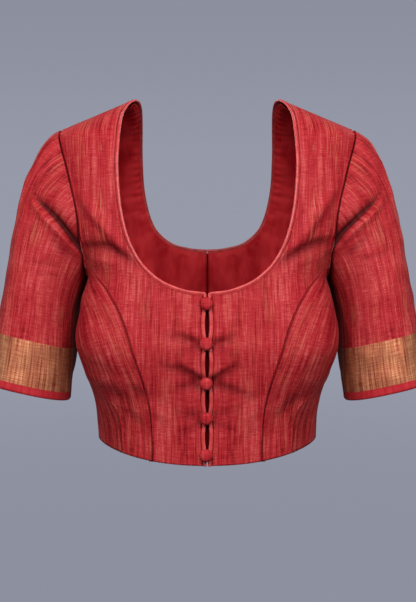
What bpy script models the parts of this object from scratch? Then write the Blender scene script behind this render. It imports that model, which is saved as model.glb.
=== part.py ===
"""Saree blouse in raw silk: princess-seamed fronts closed by five covered buttons, a deep scooped
neck edged with cord, elbow-length sleeves with a woven border, and a satin-lined back.

Metres. +X is the wearer's left, the front faces -Y, +Z is up. The origin lies midway between the
two shoulder seams, where the blouse rests on its wearer. Pieces are worked out for +X and mirrored.
"""
import bpy
import bmesh
from math import acos, atan2, copysign, cos, exp, hypot, log, pi, radians, sin
from mathutils import Vector

# Cloth, cords and gaps
CLOTH = 0.0015
LINING = 0.0010
SEAM_GAP = 0.0003
CORD_RADIUS, CORD_GAP = 0.0014, 0.0010

# Shoulder line, from the neck point out to the sleeve
NECK_POINT_X, NECK_POINT_Z = 0.0837, 0.0159
SHOULDER_TIP_X, SHOULDER_TIP_Z = 0.1612, -0.0166
SHOULDER_SOFTNESS = 0.0035

# Hem: at the side, and how much lower it hangs at the centre front and back
HEM_SIDE_Z, HEM_FRONT_DROP, HEM_BACK_DROP = -0.3575, 0.0165, 0.004

# Level cross-sections of the bodice from the hem up. Columns: height, half width, depth in front of
# the shoulder line, depth behind it, squareness (2 is an ellipse) and bust fullness.
RINGS = (
    (-0.378, 0.1215, 0.0990, 0.0860, 2.25, 0.000),
    (-0.340, 0.1228, 0.1000, 0.0870, 2.25, 0.000),
    (-0.310, 0.1262, 0.1030, 0.0890, 2.20, 0.004),
    (-0.280, 0.1330, 0.1080, 0.0920, 2.15, 0.015),
    (-0.245, 0.1385, 0.1120, 0.0965, 2.15, 0.022),
    (-0.205, 0.1365, 0.1110, 0.0990, 2.20, 0.014),
    (-0.178, 0.1318, 0.1090, 0.1000, 2.25, 0.005),
    (-0.160, 0.1390, 0.1060, 0.1000, 2.30, 0.002),
    (-0.125, 0.1558, 0.0990, 0.0980, 2.30, 0.000),
    (-0.085, 0.1615, 0.0880, 0.0920, 2.30, 0.000),
    (-0.050, 0.1650, 0.0750, 0.0790, 2.20, 0.000),
    (-0.018, 0.1690, 0.0570, 0.0600, 2.05, 0.000),
    (0.000, 0.1700, 0.0450, 0.0480, 2.00, 0.000),
    (0.019, 0.1710, 0.0325, 0.0350, 2.00, 0.000),
)
BUST_TURN, BUST_SPREAD = radians(50), radians(28)

# Neckline, seen from the front: x and height from the centre to the neck point
FRONT_NECK = (
    (0.0000, -0.1918), (0.0268, -0.1884), (0.0540, -0.1763), (0.0763, -0.1536),
    (0.0914, -0.1158), (0.0984, -0.0600), (0.0968, -0.0138), (0.0947, 0.0008), (0.0908, 0.0092),
    (0.0870, 0.0135), (NECK_POINT_X, NECK_POINT_Z),
)
BACK_NECK = (
    (0.0000, -0.1570), (0.0200, -0.1555), (0.0450, -0.1480), (0.0655, -0.1275),
    (0.0765, -0.0890), (0.0787, -0.0460), (0.0774, -0.0060), (0.0773, 0.0060), (0.0779, 0.0116),
    (0.0790, 0.0146), (0.0811, 0.0162), (NECK_POINT_X, NECK_POINT_Z),
)

# Princess seam, x and height up to the armhole, and the side seam, turn and height to the armhole
PRINCESS = (
    (0.0585, -0.3720), (0.0592, -0.3400), (0.0610, -0.3170), (0.0645, -0.2980), (0.0710, -0.2750),
    (0.0785, -0.2520), (0.0850, -0.2300), (0.0935, -0.2096), (0.1073, -0.1875), (0.1200, -0.1745),
)
SIDE_SEAM = (
    (radians(46.7), -0.3660), (radians(47.3), -0.3350), (radians(49.0), -0.3174),
    (radians(53.5), -0.3098), (radians(61.0), -0.3008), (radians(74.0), -0.2880),
    (radians(84.0), -0.2620), (radians(89.0), -0.2200),
)

# Armhole, an egg seen from the side: its reach to front and back, how far its belly hangs, and how
# much fuller it is near the shoulder, so that the seam starts straight down
ARMHOLE_LOW_Z = -0.178
ARMHOLE_FRONT, ARMHOLE_BACK, ARMHOLE_EGG = 0.049, 0.060, 0.46
ARMHOLE_TOP_FULL, ARMHOLE_TOP_SPREAD = 1.6, 0.38
PRINCESS_MEETS = radians(143)

# Sleeve: the middle of its hem, the hem's half width and depth, and how the arm hangs
CUFF_CENTRE = Vector((0.1975, -0.0200, -0.3040))
CUFF_HALF_WIDTH, CUFF_HALF_DEPTH = 0.0459, 0.0520
CUFF_RISE, CUFF_TILT, CUFF_SQUARE = 0.0028, radians(12.5), 2.5
ARM_OUT, ARM_FORWARD = radians(9.9), radians(5)
CAP_SLOPE, UNDERARM_SPREAD = radians(-19.5), radians(30)
CAP_REACH, CAP_HANG, UNDERARM_HANG = 0.047, 0.60, 0.35
SLEEVE_GAP = 0.0006

# Rows of faces up each panel, and how many of them belong to the lower line of each edge
FRONT_COLUMNS, FRONT_ROWS, FRONT_EDGE_ROWS, PRINCESS_ROWS = 10, 38, 16, 21
SIDE_COLUMNS, SIDE_PANEL_ROWS = 6, 21
BACK_COLUMNS, BACK_ROWS, CENTRE_BACK_ROWS, SIDE_ROWS = 10, 30, 10, 14
SLEEVE_COLUMNS, SLEEVE_ROWS = 28, 20

# Buttons on the centre front, and how far the front edges part between them
BUTTON_WIDTH, BUTTON_HEIGHT, BUTTON_X = 0.0138, 0.0056, -0.0010
BUTTON_HEIGHTS = (-0.2000, -0.2420, -0.2840, -0.3220, -0.3620)
BUTTON_OUTLINE = (
    (0.00, 0.00), (0.84, 0.00), (1.00, 0.25), (0.96, 0.50), (0.76, 0.78), (0.44, 0.94), (0.00, 1.00),
)
EDGE_CLOSED, EDGE_PARTED = 0.0007, 0.0016

# Folds, seen from the front, fading towards both ends. Columns: x and height of the outer end,
# x and height of the inner end, how far the cloth rises or sinks, and half width.
FRONT_FOLDS_LEFT = (
    (0.140, -0.096, 0.082, -0.158, 0.0030, 0.0110),
    (0.138, -0.120, 0.084, -0.172, -0.0026, 0.0100),
)
FRONT_FOLDS_RIGHT = (
    (0.138, -0.106, 0.080, -0.160, 0.0030, 0.0110),
    (0.130, -0.150, 0.080, -0.172, -0.0026, 0.0100),
)
SLEEVE_FOLDS = (
    (0.191, -0.088, 0.134, -0.152, 0.0040, 0.0080),
    (0.178, -0.088, 0.132, -0.148, -0.0055, 0.0070),
)

COLOUR_SILK = (0.527, 0.058, 0.060, 1.0)
COLOUR_SIDE = (0.440, 0.042, 0.046, 1.0)
COLOUR_BACK = (0.480, 0.048, 0.052, 1.0)
COLOUR_SLEEVE = (0.468, 0.046, 0.053, 1.0)
COLOUR_LINING = (0.262, 0.014, 0.017, 1.0)
COLOUR_CORD = (0.672, 0.095, 0.093, 1.0)
COLOUR_BUTTON = (0.413, 0.040, 0.045, 1.0)


def smooth(rows, column, at):
    """One column of a table at a value of its first column, with no overshoot between the rows."""
    keys = [row[0] for row in rows]
    values = [row[column] for row in rows]
    last = len(rows) - 1
    steps = [(values[i + 1] - values[i]) / (keys[i + 1] - keys[i]) for i in range(last)]
    if at <= keys[0]:
        return values[0] + steps[0] * (at - keys[0])
    if at >= keys[last]:
        return values[last] + steps[-1] * (at - keys[last])
    i = max(k for k in range(last) if keys[k] <= at)

    def slope(k):
        if k in (0, last):
            return steps[0] if k == 0 else steps[-1]
        if steps[k - 1] * steps[k] <= 0:
            return 0.0
        return 2 / (1 / steps[k - 1] + 1 / steps[k])

    gap = keys[i + 1] - keys[i]
    t = (at - keys[i]) / gap
    return (values[i] * (1 + 2 * t) * (1 - t) ** 2 + slope(i) * gap * t * (1 - t) ** 2
            + values[i + 1] * t * t * (3 - 2 * t) + slope(i + 1) * gap * t * t * (t - 1))


def soft_least(a, b, softness):
    return -softness * log(exp(-a / softness) + exp(-b / softness))


ring_memory = {}


def ring(height):
    """The form's sizes at a height, its width brought in softly under the shoulder line."""
    key = round(height, 7)
    if key not in ring_memory:
        width, front, back, square, bust = (smooth(RINGS, c, height) for c in range(1, 6))
        slope = (SHOULDER_TIP_X - NECK_POINT_X) / (SHOULDER_TIP_Z - NECK_POINT_Z)
        shoulder = NECK_POINT_X + slope * (height - NECK_POINT_Z)
        width = soft_least(width, shoulder, SHOULDER_SOFTNESS)
        ring_memory[key] = (width, front, back, square, bust)
    return ring_memory[key]


def torso(turn, height):
    """A point of the bodice's form. Turn 0 is the centre front, half pi the side, pi the back."""
    width, front, back, square, bust = ring(height)
    across, along = sin(turn), cos(turn)
    x = width * copysign(abs(across) ** (2 / square), across)
    y = -(front if along > 0 else back) * copysign(abs(along) ** (2 / square), along)
    fullness = bust * exp(-((abs(turn) - BUST_TURN) / BUST_SPREAD) ** 2)
    grow = 1 + fullness / hypot(x, y)
    return Vector((x * grow, y * grow, height))


def torso_normal(turn, height):
    step = 0.004
    around = torso(turn + step, height) - torso(turn - step, height)
    upward = torso(turn, height + 0.0006) - torso(turn, height - 0.0006)
    return around.cross(upward).normalized()


def fold_lift(folds, x, z):
    """How far folds raise or sink the cloth at a place seen from the front."""
    lift = 0.0
    for x0, z0, x1, z1, height, half_width in folds:
        length = hypot(x1 - x0, z1 - z0)
        along = ((x - x0) * (x1 - x0) + (z - z0) * (z1 - z0)) / length ** 2
        if 0 < along < 1:
            aside = ((x - x0) * (z1 - z0) - (z - z0) * (x1 - x0)) / length
            lift += height * sin(pi * along) ** 0.8 * exp(-(aside / half_width) ** 2)
    return lift


def on_torso(turn, height, lift, folds):
    place = torso(turn, height)
    fade = max(cos(turn), 0.0) ** 0.3
    raised = lift + fade * fold_lift(folds, place.x, place.z)
    return place + torso_normal(turn, height) * raised


def turn_at(x, height, from_back=False):
    """The turn at which the form at this height is this far from the middle."""
    low, high = 0.0, pi / 2
    for _ in range(36):
        middle = (low + high) / 2
        place = torso(pi - middle if from_back else middle, height)
        low, high = (middle, high) if place.x < x else (low, middle)
    return pi - low if from_back else low


def through(points, t):
    """A smooth curve through a short list of pairs, t from 0 to 1 by their distance apart."""
    reach = [0.0]
    for p, q in zip(points, points[1:]):
        reach.append(reach[-1] + hypot(q[0] - p[0], q[1] - p[1]))
    at = t * reach[-1]
    last = len(points) - 1
    i = min(max(k for k in range(last + 1) if reach[k] <= at + 1e-12), last - 1)
    gap = reach[i + 1] - reach[i]
    u = (at - reach[i]) / gap

    def slope(k, c):
        low, high = max(k - 1, 0), min(k + 1, last)
        return (points[high][c] - points[low][c]) / (reach[high] - reach[low])

    return tuple(
        points[i][c] * (1 + 2 * u) * (1 - u) ** 2 + slope(i, c) * gap * u * (1 - u) ** 2
        + points[i + 1][c] * u * u * (3 - 2 * u) + slope(i + 1, c) * gap * u * u * (u - 1)
        for c in (0, 1))


class Line:
    """A line on the form kept as turns and heights, read by its length in space."""

    def __init__(self, stops):
        self.stops = list(stops)
        self.reach = [0.0]
        for p, q in zip(self.stops, self.stops[1:]):
            self.reach.append(self.reach[-1] + (torso(*q) - torso(*p)).length)

    def at(self, t):
        wanted = min(max(t, 0.0), 1.0) * self.reach[-1]
        i = 0
        while i < len(self.stops) - 2 and self.reach[i + 1] < wanted:
            i += 1
        share = (wanted - self.reach[i]) / (self.reach[i + 1] - self.reach[i])
        (turn_a, z_a), (turn_b, z_b) = self.stops[i], self.stops[i + 1]
        return turn_a + (turn_b - turn_a) * share, z_a + (z_b - z_a) * share


def joined(first, share, second):
    """One edge made of two lines, the first taking up this share of it."""
    def at(t):
        return first.at(t / share) if t < share else second.at((t - share) / (1 - share))
    return at


def spread(count):
    return [i / (count - 1) for i in range(count)]


def armhole(angle):
    """Turn and height on the armhole: angle 0 at the shoulder, half pi in front, pi underarm."""
    top, low = SHOULDER_TIP_Z, ARMHOLE_LOW_Z
    height = (top + low) / 2 + (top - low) / 2 * cos(angle)
    reach = ARMHOLE_FRONT if sin(angle) >= 0 else ARMHOLE_BACK
    fuller = 1 + ARMHOLE_TOP_FULL * exp(-2 * (1 - cos(angle)) / ARMHOLE_TOP_SPREAD ** 2)
    y = -reach * sin(angle) * (1 - ARMHOLE_EGG * cos(angle)) * fuller
    front, back, square = ring(height)[1:4]
    if y <= 0:
        return acos(min(1.0, -y / front) ** (square / 2)), height
    return pi - acos(min(1.0, y / back) ** (square / 2)), height


def hem(turn):
    drop = HEM_FRONT_DROP if cos(turn) > 0 else HEM_BACK_DROP
    return turn, HEM_SIDE_Z - drop * cos(turn) ** 2


def edge_opening(height):
    """Half the gap between the corded front edges: closed at each button, bowed between them."""
    for low, high in zip(BUTTON_HEIGHTS[1:], BUTTON_HEIGHTS):
        if low < height < high:
            return EDGE_CLOSED + EDGE_PARTED * sin(pi * (height - low) / (high - low)) ** 1.4
    return EDGE_CLOSED


def front_edge(height):
    x = edge_opening(height) + 2 * CORD_RADIUS + CORD_GAP
    return turn_at(x, height), height


HEM_FRONT_Z = hem(0.0)[1]
NECK_FRONT_Z, NECK_BACK_Z = FRONT_NECK[0][1], BACK_NECK[0][1]
FRONT_EDGE = Line(front_edge(HEM_FRONT_Z + (NECK_FRONT_Z - HEM_FRONT_Z) * t) for t in spread(60))
front_corner_x = edge_opening(NECK_FRONT_Z) + 2 * CORD_RADIUS + CORD_GAP
FRONT_NECKLINE = Line(
    (turn_at(x, z), z) for x, z in
    (through(((front_corner_x, NECK_FRONT_Z),) + FRONT_NECK[1:], t) for t in spread(70)))
BACK_NECKLINE = Line(
    (turn_at(x, z, from_back=True), z) for x, z in
    (through(((SEAM_GAP, NECK_BACK_Z),) + BACK_NECK[1:], t) for t in spread(70)))
SHOULDER_SEAM = Line(
    (pi / 2, NECK_POINT_Z + (SHOULDER_TIP_Z - NECK_POINT_Z) * t) for t in spread(20))
PRINCESS_SEAM = Line(
    [(turn_at(x, z), z) for x, z in (through(PRINCESS, t) for t in spread(60))]
    + [armhole(PRINCESS_MEETS)])
SIDE_LINE = Line([through(SIDE_SEAM, t) for t in spread(60)] + [armhole(pi)])
UPPER_ARMHOLE = Line(armhole(PRINCESS_MEETS * (1 - t)) for t in spread(40))
UNDERARM = Line(armhole(PRINCESS_MEETS + (pi - PRINCESS_MEETS) * t) for t in spread(20))
BACK_ARMHOLE = Line(armhole(pi + pi * t) for t in spread(50))
CENTRE_BACK = Line(
    (turn_at(SEAM_GAP, z, from_back=True), z) for z in
    (hem(pi)[1] + (NECK_BACK_Z - hem(pi)[1]) * t for t in spread(20)))


def hem_between(first, second):
    """The hem from the foot of one line to the foot of the next."""
    turn_a, turn_b = first.at(0)[0], second.at(0)[0]
    return Line(hem(turn_a + (turn_b - turn_a) * t) for t in spread(30))


def patch(inner, outer, foot, top):
    """A cloth panel held by its four edges: u from inner to outer edge, v from foot to top."""
    corners = (inner(0), outer(0), inner(1), outer(1))

    def place(u, v):
        sides = (inner(v), outer(v), foot(u), top(u))
        shares = ((1 - u), u, (1 - v), v)
        minus = ((1 - u) * (1 - v), u * (1 - v), (1 - u) * v, u * v)
        return tuple(
            sum(share * side[c] for share, side in zip(shares, sides))
            - sum(share * corner[c] for share, corner in zip(minus, corners))
            for c in (0, 1))
    return place


FRONT_CENTRE = patch(
    joined(FRONT_EDGE, FRONT_EDGE_ROWS / FRONT_ROWS, FRONT_NECKLINE),
    joined(PRINCESS_SEAM, PRINCESS_ROWS / FRONT_ROWS, UPPER_ARMHOLE),
    hem_between(FRONT_EDGE, PRINCESS_SEAM).at, SHOULDER_SEAM.at)
FRONT_SIDE = patch(
    PRINCESS_SEAM.at, SIDE_LINE.at, hem_between(PRINCESS_SEAM, SIDE_LINE).at, UNDERARM.at)
BACK = patch(
    joined(CENTRE_BACK, CENTRE_BACK_ROWS / BACK_ROWS, BACK_NECKLINE),
    joined(SIDE_LINE, SIDE_ROWS / BACK_ROWS, BACK_ARMHOLE),
    hem_between(CENTRE_BACK, SIDE_LINE).at, SHOULDER_SEAM.at)


def cuff(angle):
    across = Vector((cos(CUFF_TILT), 0, sin(CUFF_TILT)))
    forward = Vector((0, -CUFF_HALF_DEPTH, CUFF_RISE))
    out, ahead = (copysign(abs(part) ** (2 / CUFF_SQUARE), part) for part in (cos(angle), sin(angle)))
    return CUFF_CENTRE + across * CUFF_HALF_WIDTH * out + forward * ahead


def sleeve(angle, down):
    """A point of the sleeve: angle round it as on the armhole, down from 0 there to 1 at the cuff."""
    upper = (1 + cos(angle)) / 2
    seam = torso_normal(*armhole(angle)) * SLEEVE_GAP * (1 - upper) ** 0.5 + Vector((SLEEVE_GAP, 0, 0))
    start, end = torso(*armhole(angle)) + seam, cuff(angle)
    leave = (Vector((cos(CAP_SLOPE), 0, sin(CAP_SLOPE))) * upper
             + Vector((sin(UNDERARM_SPREAD), 0, -cos(UNDERARM_SPREAD))) * (1 - upper))
    hang = Vector((sin(ARM_OUT), -sin(ARM_FORWARD), -cos(ARM_OUT))).normalized()
    length = (end - start).length
    lead = CAP_REACH * upper + UNDERARM_HANG * length * (1 - upper)
    follow = length * (CAP_HANG * upper + UNDERARM_HANG * (1 - upper))
    second = start + leave.normalized() * lead
    third = end - hang * follow
    rest = 1 - down
    return (start * rest ** 3 + second * 3 * rest ** 2 * down
            + third * 3 * rest * down ** 2 + end * down ** 3)


def on_sleeve(angle, down, lift):
    low, high = max(down - 0.01, 0.0), min(down + 0.01, 1.0)
    around = sleeve(angle + 0.02, down) - sleeve(angle - 0.02, down)
    along = sleeve(angle, high) - sleeve(angle, low)
    place = sleeve(angle, down)
    raised = lift + abs(sin(angle)) ** 0.5 * fold_lift(SLEEVE_FOLDS, place.x, place.z)
    return place + around.cross(along).normalized() * raised


def material(name, colour, roughness):
    made = bpy.data.materials.new(name)
    made.use_nodes = True
    shader = made.node_tree.nodes["Principled BSDF"]
    shader.inputs["Base Color"].default_value = colour
    shader.inputs["Roughness"].default_value = roughness
    shader.inputs["Metallic"].default_value = 0.0
    made.diffuse_color = colour
    return made


def finish(name, work, surface, side=1):
    """Mirrors a piece for the wearer's right, turns its faces outward and puts it in the scene."""
    bmesh.ops.scale(work, vec=(side, 1, 1), verts=work.verts)
    bmesh.ops.recalc_face_normals(work, faces=work.faces)
    for face in work.faces:
        face.smooth = True
    mesh = bpy.data.meshes.new(name)
    work.to_mesh(mesh)
    work.free()
    mesh.materials.append(surface)
    bpy.context.scene.collection.objects.link(bpy.data.objects.new(name, mesh))


def thicken(work, outer_place, inner_place):
    """Makes a wall of an open sheet: a second skin, joined round the rim, and each skin placed."""
    outer = list(work.verts)
    grown = bmesh.ops.extrude_face_region(work, geom=work.faces[:], use_keep_orig=True)
    inner = [item for item in grown["geom"] if isinstance(item, bmesh.types.BMVert)]
    for verts, place in ((outer, outer_place), (inner, inner_place)):
        for vert in verts:
            vert.co = place(vert.co)


def bodice_panel(name, columns, rows, shape, surface, side, trim, folds=(), under=0.0, wall=CLOTH):
    """A panel on the bodice's form, its inner, outer and end edges trimmed by shares of the panel."""
    inner_trim, outer_trim, end_trim = trim
    work = bmesh.new()
    bmesh.ops.create_grid(work, x_segments=columns, y_segments=rows, size=0.5)

    def skin(depth):
        def place(flat):
            u = inner_trim + (1 - inner_trim - outer_trim) * (flat.x + 0.5)
            v = end_trim + (1 - 2 * end_trim) * (flat.y + 0.5)
            return on_torso(*shape(u, v), -depth, folds)
        return place
    thicken(work, skin(under), skin(under + wall))
    finish(name, work, surface, side)


def unit_tube(sides, segments):
    """An open tube about Z, one across its radius and one long, to be moved into place."""
    work = bmesh.new()
    bmesh.ops.create_grid(work, x_segments=sides, y_segments=segments, size=0.5)
    for vert in work.verts:
        angle = 2 * pi * (vert.co.x + 0.5)
        vert.co = Vector((cos(angle), sin(angle), vert.co.y + 0.5))
    bmesh.ops.remove_doubles(work, verts=work.verts, dist=0.00005)
    return work


def sleeve_piece(name, surface, side):
    work = unit_tube(SLEEVE_COLUMNS, SLEEVE_ROWS)

    def skin(depth):
        return lambda unit: on_sleeve(atan2(unit.y, unit.x), unit.z, -depth)
    thicken(work, skin(0.0), skin(CLOTH))
    finish(name, work, surface, side)


def cord_route(folds):
    """Middles of the edge cord and the form's normals there: up the front edge and round the neck."""
    sunk, beside = -CLOTH / 2, CORD_RADIUS + CORD_GAP
    edge_stops = [FRONT_EDGE.at(t) for t in spread(2 * FRONT_EDGE_ROWS + 1)]
    neck_stops = ([FRONT_NECKLINE.at(t) for t in spread(FRONT_ROWS - FRONT_EDGE_ROWS + 1)]
                  + [BACK_NECKLINE.at(1 - t) for t in spread(BACK_ROWS - CENTRE_BACK_ROWS + 1)][1:])
    route = []
    for stops in (edge_stops, neck_stops):
        places = [on_torso(*stop, sunk, folds) for stop in stops]
        normals = [torso_normal(*stop) for stop in stops]
        last = len(places) - 1
        moved = []
        for i, (place, normal) in enumerate(zip(places, normals)):
            ahead = places[min(i + 1, last)] - places[max(i - 1, 0)]
            aside = normal.cross(ahead).normalized()
            moved.append((place + aside * beside, normal))
        route.append(moved)
    edge, neck = route
    corner = (Vector((edge[-1][0].x, neck[0][0].y, neck[0][0].z)), edge[-1][1])
    return edge[:-1] + [corner] + neck[1:]


def cord_piece(name, surface, side, folds):
    route = cord_route(folds)
    work = unit_tube(6, len(route) - 1)
    bmesh.ops.holes_fill(work, edges=work.edges[:], sides=0)
    last = len(route) - 1
    for vert in work.verts:
        i = round(vert.co.z * last)
        middle, normal = route[i]
        back = (middle - route[i - 1][0]).normalized() if i else None
        ahead = (route[i + 1][0] - middle).normalized() if i < last else None
        heading = ((back or ahead) + (ahead or back)).normalized()
        widen = 1 / max(heading.dot(back or ahead), 0.5)
        aside = heading.cross(normal).normalized() * widen
        vert.co = middle + (aside * vert.co.x + normal * vert.co.y) * CORD_RADIUS
    finish(name, work, surface, side)


def button_piece(name, height, surface):
    """A covered button: a flat underside, a rounded rim and a low dome, on the centre front."""
    work = bmesh.new()
    outline = [work.verts.new((BUTTON_WIDTH / 2 * r, 0, BUTTON_HEIGHT * h)) for r, h in BUTTON_OUTLINE]
    for low, high in zip(outline, outline[1:]):
        work.edges.new((low, high))
    bmesh.ops.spin(work, geom=work.verts[:] + work.edges[:], axis=(0, 0, 1), cent=(0, 0, 0),
                   steps=16, angle=2 * pi)
    bmesh.ops.remove_doubles(work, verts=work.verts, dist=0.00005)
    normal = torso_normal(0.0, height)
    seat = torso(0.0, height) + normal * (CORD_RADIUS - CLOTH / 2 + SEAM_GAP)
    turned = normal.to_track_quat("Z", "Y").to_matrix().to_4x4()
    bmesh.ops.transform(work, matrix=turned, verts=work.verts)
    bmesh.ops.translate(work, vec=seat + Vector((BUTTON_X, 0, 0)), verts=work.verts)
    finish(name, work, surface)


for leftover in list(bpy.data.objects):
    bpy.data.objects.remove(leftover, do_unlink=True)

front_silk = material("front_silk", COLOUR_SILK, 0.55)
side_silk = material("side_silk", COLOUR_SIDE, 0.55)
back_silk = material("back_silk", COLOUR_BACK, 0.55)
sleeve_silk = material("sleeve_silk", COLOUR_SLEEVE, 0.55)
satin = material("lining_satin", COLOUR_LINING, 0.40)
cord_silk = material("cord_silk", COLOUR_CORD, 0.45)
button_silk = material("button_silk", COLOUR_BUTTON, 0.55)

for suffix, side, front_folds in (("left", 1, FRONT_FOLDS_LEFT), ("right", -1, FRONT_FOLDS_RIGHT)):
    bodice_panel(f"front_centre_{suffix}", FRONT_COLUMNS, FRONT_ROWS, FRONT_CENTRE, front_silk, side,
                 (0.0015, 0.003, 0.001), front_folds)
    bodice_panel(f"front_side_{suffix}", SIDE_COLUMNS, SIDE_PANEL_ROWS, FRONT_SIDE, side_silk, side,
                 (0.003, 0.008, 0.002))
    bodice_panel(f"back_{suffix}", BACK_COLUMNS, BACK_ROWS, BACK, back_silk, side, (0.0015, 0.003, 0.001))
    bodice_panel(f"back_lining_{suffix}", BACK_COLUMNS, BACK_ROWS, BACK, satin, side,
                 (0.004, 0.010, 0.004), under=CLOTH + 2 * SEAM_GAP, wall=LINING)
    sleeve_piece(f"sleeve_{suffix}", sleeve_silk, side)
    cord_piece(f"edge_cord_{suffix}", cord_silk, side, front_folds)
for number, height in enumerate(BUTTON_HEIGHTS, start=1):
    button_piece(f"button_{number}", height, button_silk)
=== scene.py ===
# %% [markdown]
# A saree blouse in red raw silk
#
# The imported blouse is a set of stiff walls: fronts, sides, back, lining, sleeves, corded edges and
# buttons. This lesson dresses them as cloth. Each wall gets a thinner, denser shell on the same form,
# with creases laid by hand, edges rolled into their seams, and silk that follows the panel's grain.
# Pieces are worked out for the wearer's left, which is +X, and mirrored for the right.

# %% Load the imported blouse
from math import cos, pi, radians, sin

import bmesh
import bpy
import numpy as np
from mathutils import Matrix, Vector


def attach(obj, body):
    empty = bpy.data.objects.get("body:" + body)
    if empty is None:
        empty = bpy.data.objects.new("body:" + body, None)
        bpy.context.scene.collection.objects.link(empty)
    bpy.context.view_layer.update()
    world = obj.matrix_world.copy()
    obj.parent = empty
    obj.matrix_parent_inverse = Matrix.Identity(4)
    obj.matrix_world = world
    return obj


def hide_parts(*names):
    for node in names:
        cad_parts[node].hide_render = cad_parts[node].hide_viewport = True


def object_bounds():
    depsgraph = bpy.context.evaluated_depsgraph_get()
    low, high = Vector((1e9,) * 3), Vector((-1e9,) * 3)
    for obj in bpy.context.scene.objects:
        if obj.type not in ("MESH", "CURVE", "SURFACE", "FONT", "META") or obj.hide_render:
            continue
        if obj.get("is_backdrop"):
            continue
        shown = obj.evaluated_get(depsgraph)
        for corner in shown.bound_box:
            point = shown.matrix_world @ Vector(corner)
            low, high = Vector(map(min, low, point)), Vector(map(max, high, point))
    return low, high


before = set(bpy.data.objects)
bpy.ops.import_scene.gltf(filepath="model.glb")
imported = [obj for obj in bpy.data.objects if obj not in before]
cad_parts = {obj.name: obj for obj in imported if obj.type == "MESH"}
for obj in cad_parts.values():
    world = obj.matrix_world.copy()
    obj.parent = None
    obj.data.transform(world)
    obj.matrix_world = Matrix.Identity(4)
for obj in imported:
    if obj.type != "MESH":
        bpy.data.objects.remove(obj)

cad_box = [list(corner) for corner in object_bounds()]
print("Nodes to dress:", len(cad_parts))

# %% [markdown]
# The bodice's form
#
# A fitted bodice is cut to a body, so its cloth has one curved form from hem to shoulder. It could be
# sculpted, but then panels would not meet. Here level rings give a half width, a depth in front and
# behind, a squareness and a fullness at the bust, and every panel reads the same rings. Rings that are
# read many times are worked out once, at close levels, and looked up between them.

# %% Rings of the bodice
NECK_POINT_X, NECK_POINT_Z = 0.0837, 0.0159
SHOULDER_TIP_X, SHOULDER_TIP_Z = 0.1612, -0.0166
SHOULDER_SOFTNESS = 0.0035
HEM_SIDE_Z, HEM_FRONT_DROP, HEM_BACK_DROP = -0.3575, 0.0165, 0.004
BUST_TURN, BUST_SPREAD = radians(50), radians(28)

# Columns: height, half width, depth in front, depth behind, squareness, bust fullness
RINGS = (
    (-0.378, 0.1215, 0.0990, 0.0860, 2.25, 0.000),
    (-0.340, 0.1228, 0.1000, 0.0870, 2.25, 0.000),
    (-0.310, 0.1262, 0.1030, 0.0890, 2.20, 0.004),
    (-0.280, 0.1330, 0.1080, 0.0920, 2.15, 0.015),
    (-0.245, 0.1385, 0.1120, 0.0965, 2.15, 0.022),
    (-0.205, 0.1365, 0.1110, 0.0990, 2.20, 0.014),
    (-0.178, 0.1318, 0.1090, 0.1000, 2.25, 0.005),
    (-0.160, 0.1390, 0.1060, 0.1000, 2.30, 0.002),
    (-0.125, 0.1558, 0.0990, 0.0980, 2.30, 0.000),
    (-0.085, 0.1615, 0.0880, 0.0920, 2.30, 0.000),
    (-0.050, 0.1650, 0.0750, 0.0790, 2.20, 0.000),
    (-0.018, 0.1690, 0.0570, 0.0600, 2.05, 0.000),
    (0.000, 0.1700, 0.0450, 0.0480, 2.00, 0.000),
    (0.019, 0.1710, 0.0325, 0.0350, 2.00, 0.000),
)
LEVELS = np.linspace(-0.377, 0.0189, 1600)


def smooth(rows, column, at):
    """One column of a table at many values of its first column, with no overshoot between rows."""
    keys = np.array([row[0] for row in rows])
    values = np.array([row[column] for row in rows])
    steps = np.diff(values) / np.diff(keys)
    before, after = steps[:-1], steps[1:]
    same_way = before * after > 0
    together = np.where(same_way, before + after, 1.0)
    middle = np.where(same_way, 2 * before * after / together, 0.0)
    slopes = np.concatenate(([steps[0]], middle, [steps[-1]]))
    i = np.clip(np.searchsorted(keys, at, side="right") - 1, 0, len(keys) - 2)
    gap = keys[i + 1] - keys[i]
    t = (at - keys[i]) / gap
    return (values[i] * (1 + 2 * t) * (1 - t) ** 2 + slopes[i] * gap * t * (1 - t) ** 2
            + values[i + 1] * t * t * (3 - 2 * t) + slopes[i + 1] * gap * t * t * (t - 1))


def ring_sizes():
    """The five sizes at every level, the width brought in softly under the shoulder line."""
    width, front, back, square, bust = (smooth(RINGS, column, LEVELS) for column in range(1, 6))
    slope = (SHOULDER_TIP_X - NECK_POINT_X) / (SHOULDER_TIP_Z - NECK_POINT_Z)
    shoulder = NECK_POINT_X + slope * (LEVELS - NECK_POINT_Z)
    width = -SHOULDER_SOFTNESS * np.logaddexp(-width / SHOULDER_SOFTNESS, -shoulder / SHOULDER_SOFTNESS)
    return width, front, back, square, bust


RING_SIZES = ring_sizes()
print("Widest half width:", round(float(RING_SIZES[0].max()), 4))

# %% Places and normals on the form


def ring(height):
    return [np.interp(height, LEVELS, sizes) for sizes in RING_SIZES]


def power(value, exponent):
    return np.copysign(np.abs(value) ** exponent, value)


def bell(distance, reach):
    """1 at no distance, about a third at the reach, and almost nothing at twice the reach."""
    return np.exp(-(distance / reach) ** 2)


def torso(turn, height):
    """Points of the form. Turn 0 is the centre front, half pi the side, pi the back."""
    turn, height = np.broadcast_arrays(np.asarray(turn, float), np.asarray(height, float))
    width, front, back, square, bust = ring(height)
    x = width * power(np.sin(turn), 2 / square)
    y = -np.where(np.cos(turn) > 0, front, back) * power(np.cos(turn), 2 / square)
    fullness = bust * bell(np.abs(turn) - BUST_TURN, BUST_SPREAD)
    grow = 1 + fullness / np.hypot(x, y)
    return np.stack((x * grow, y * grow, height), axis=-1)


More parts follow.
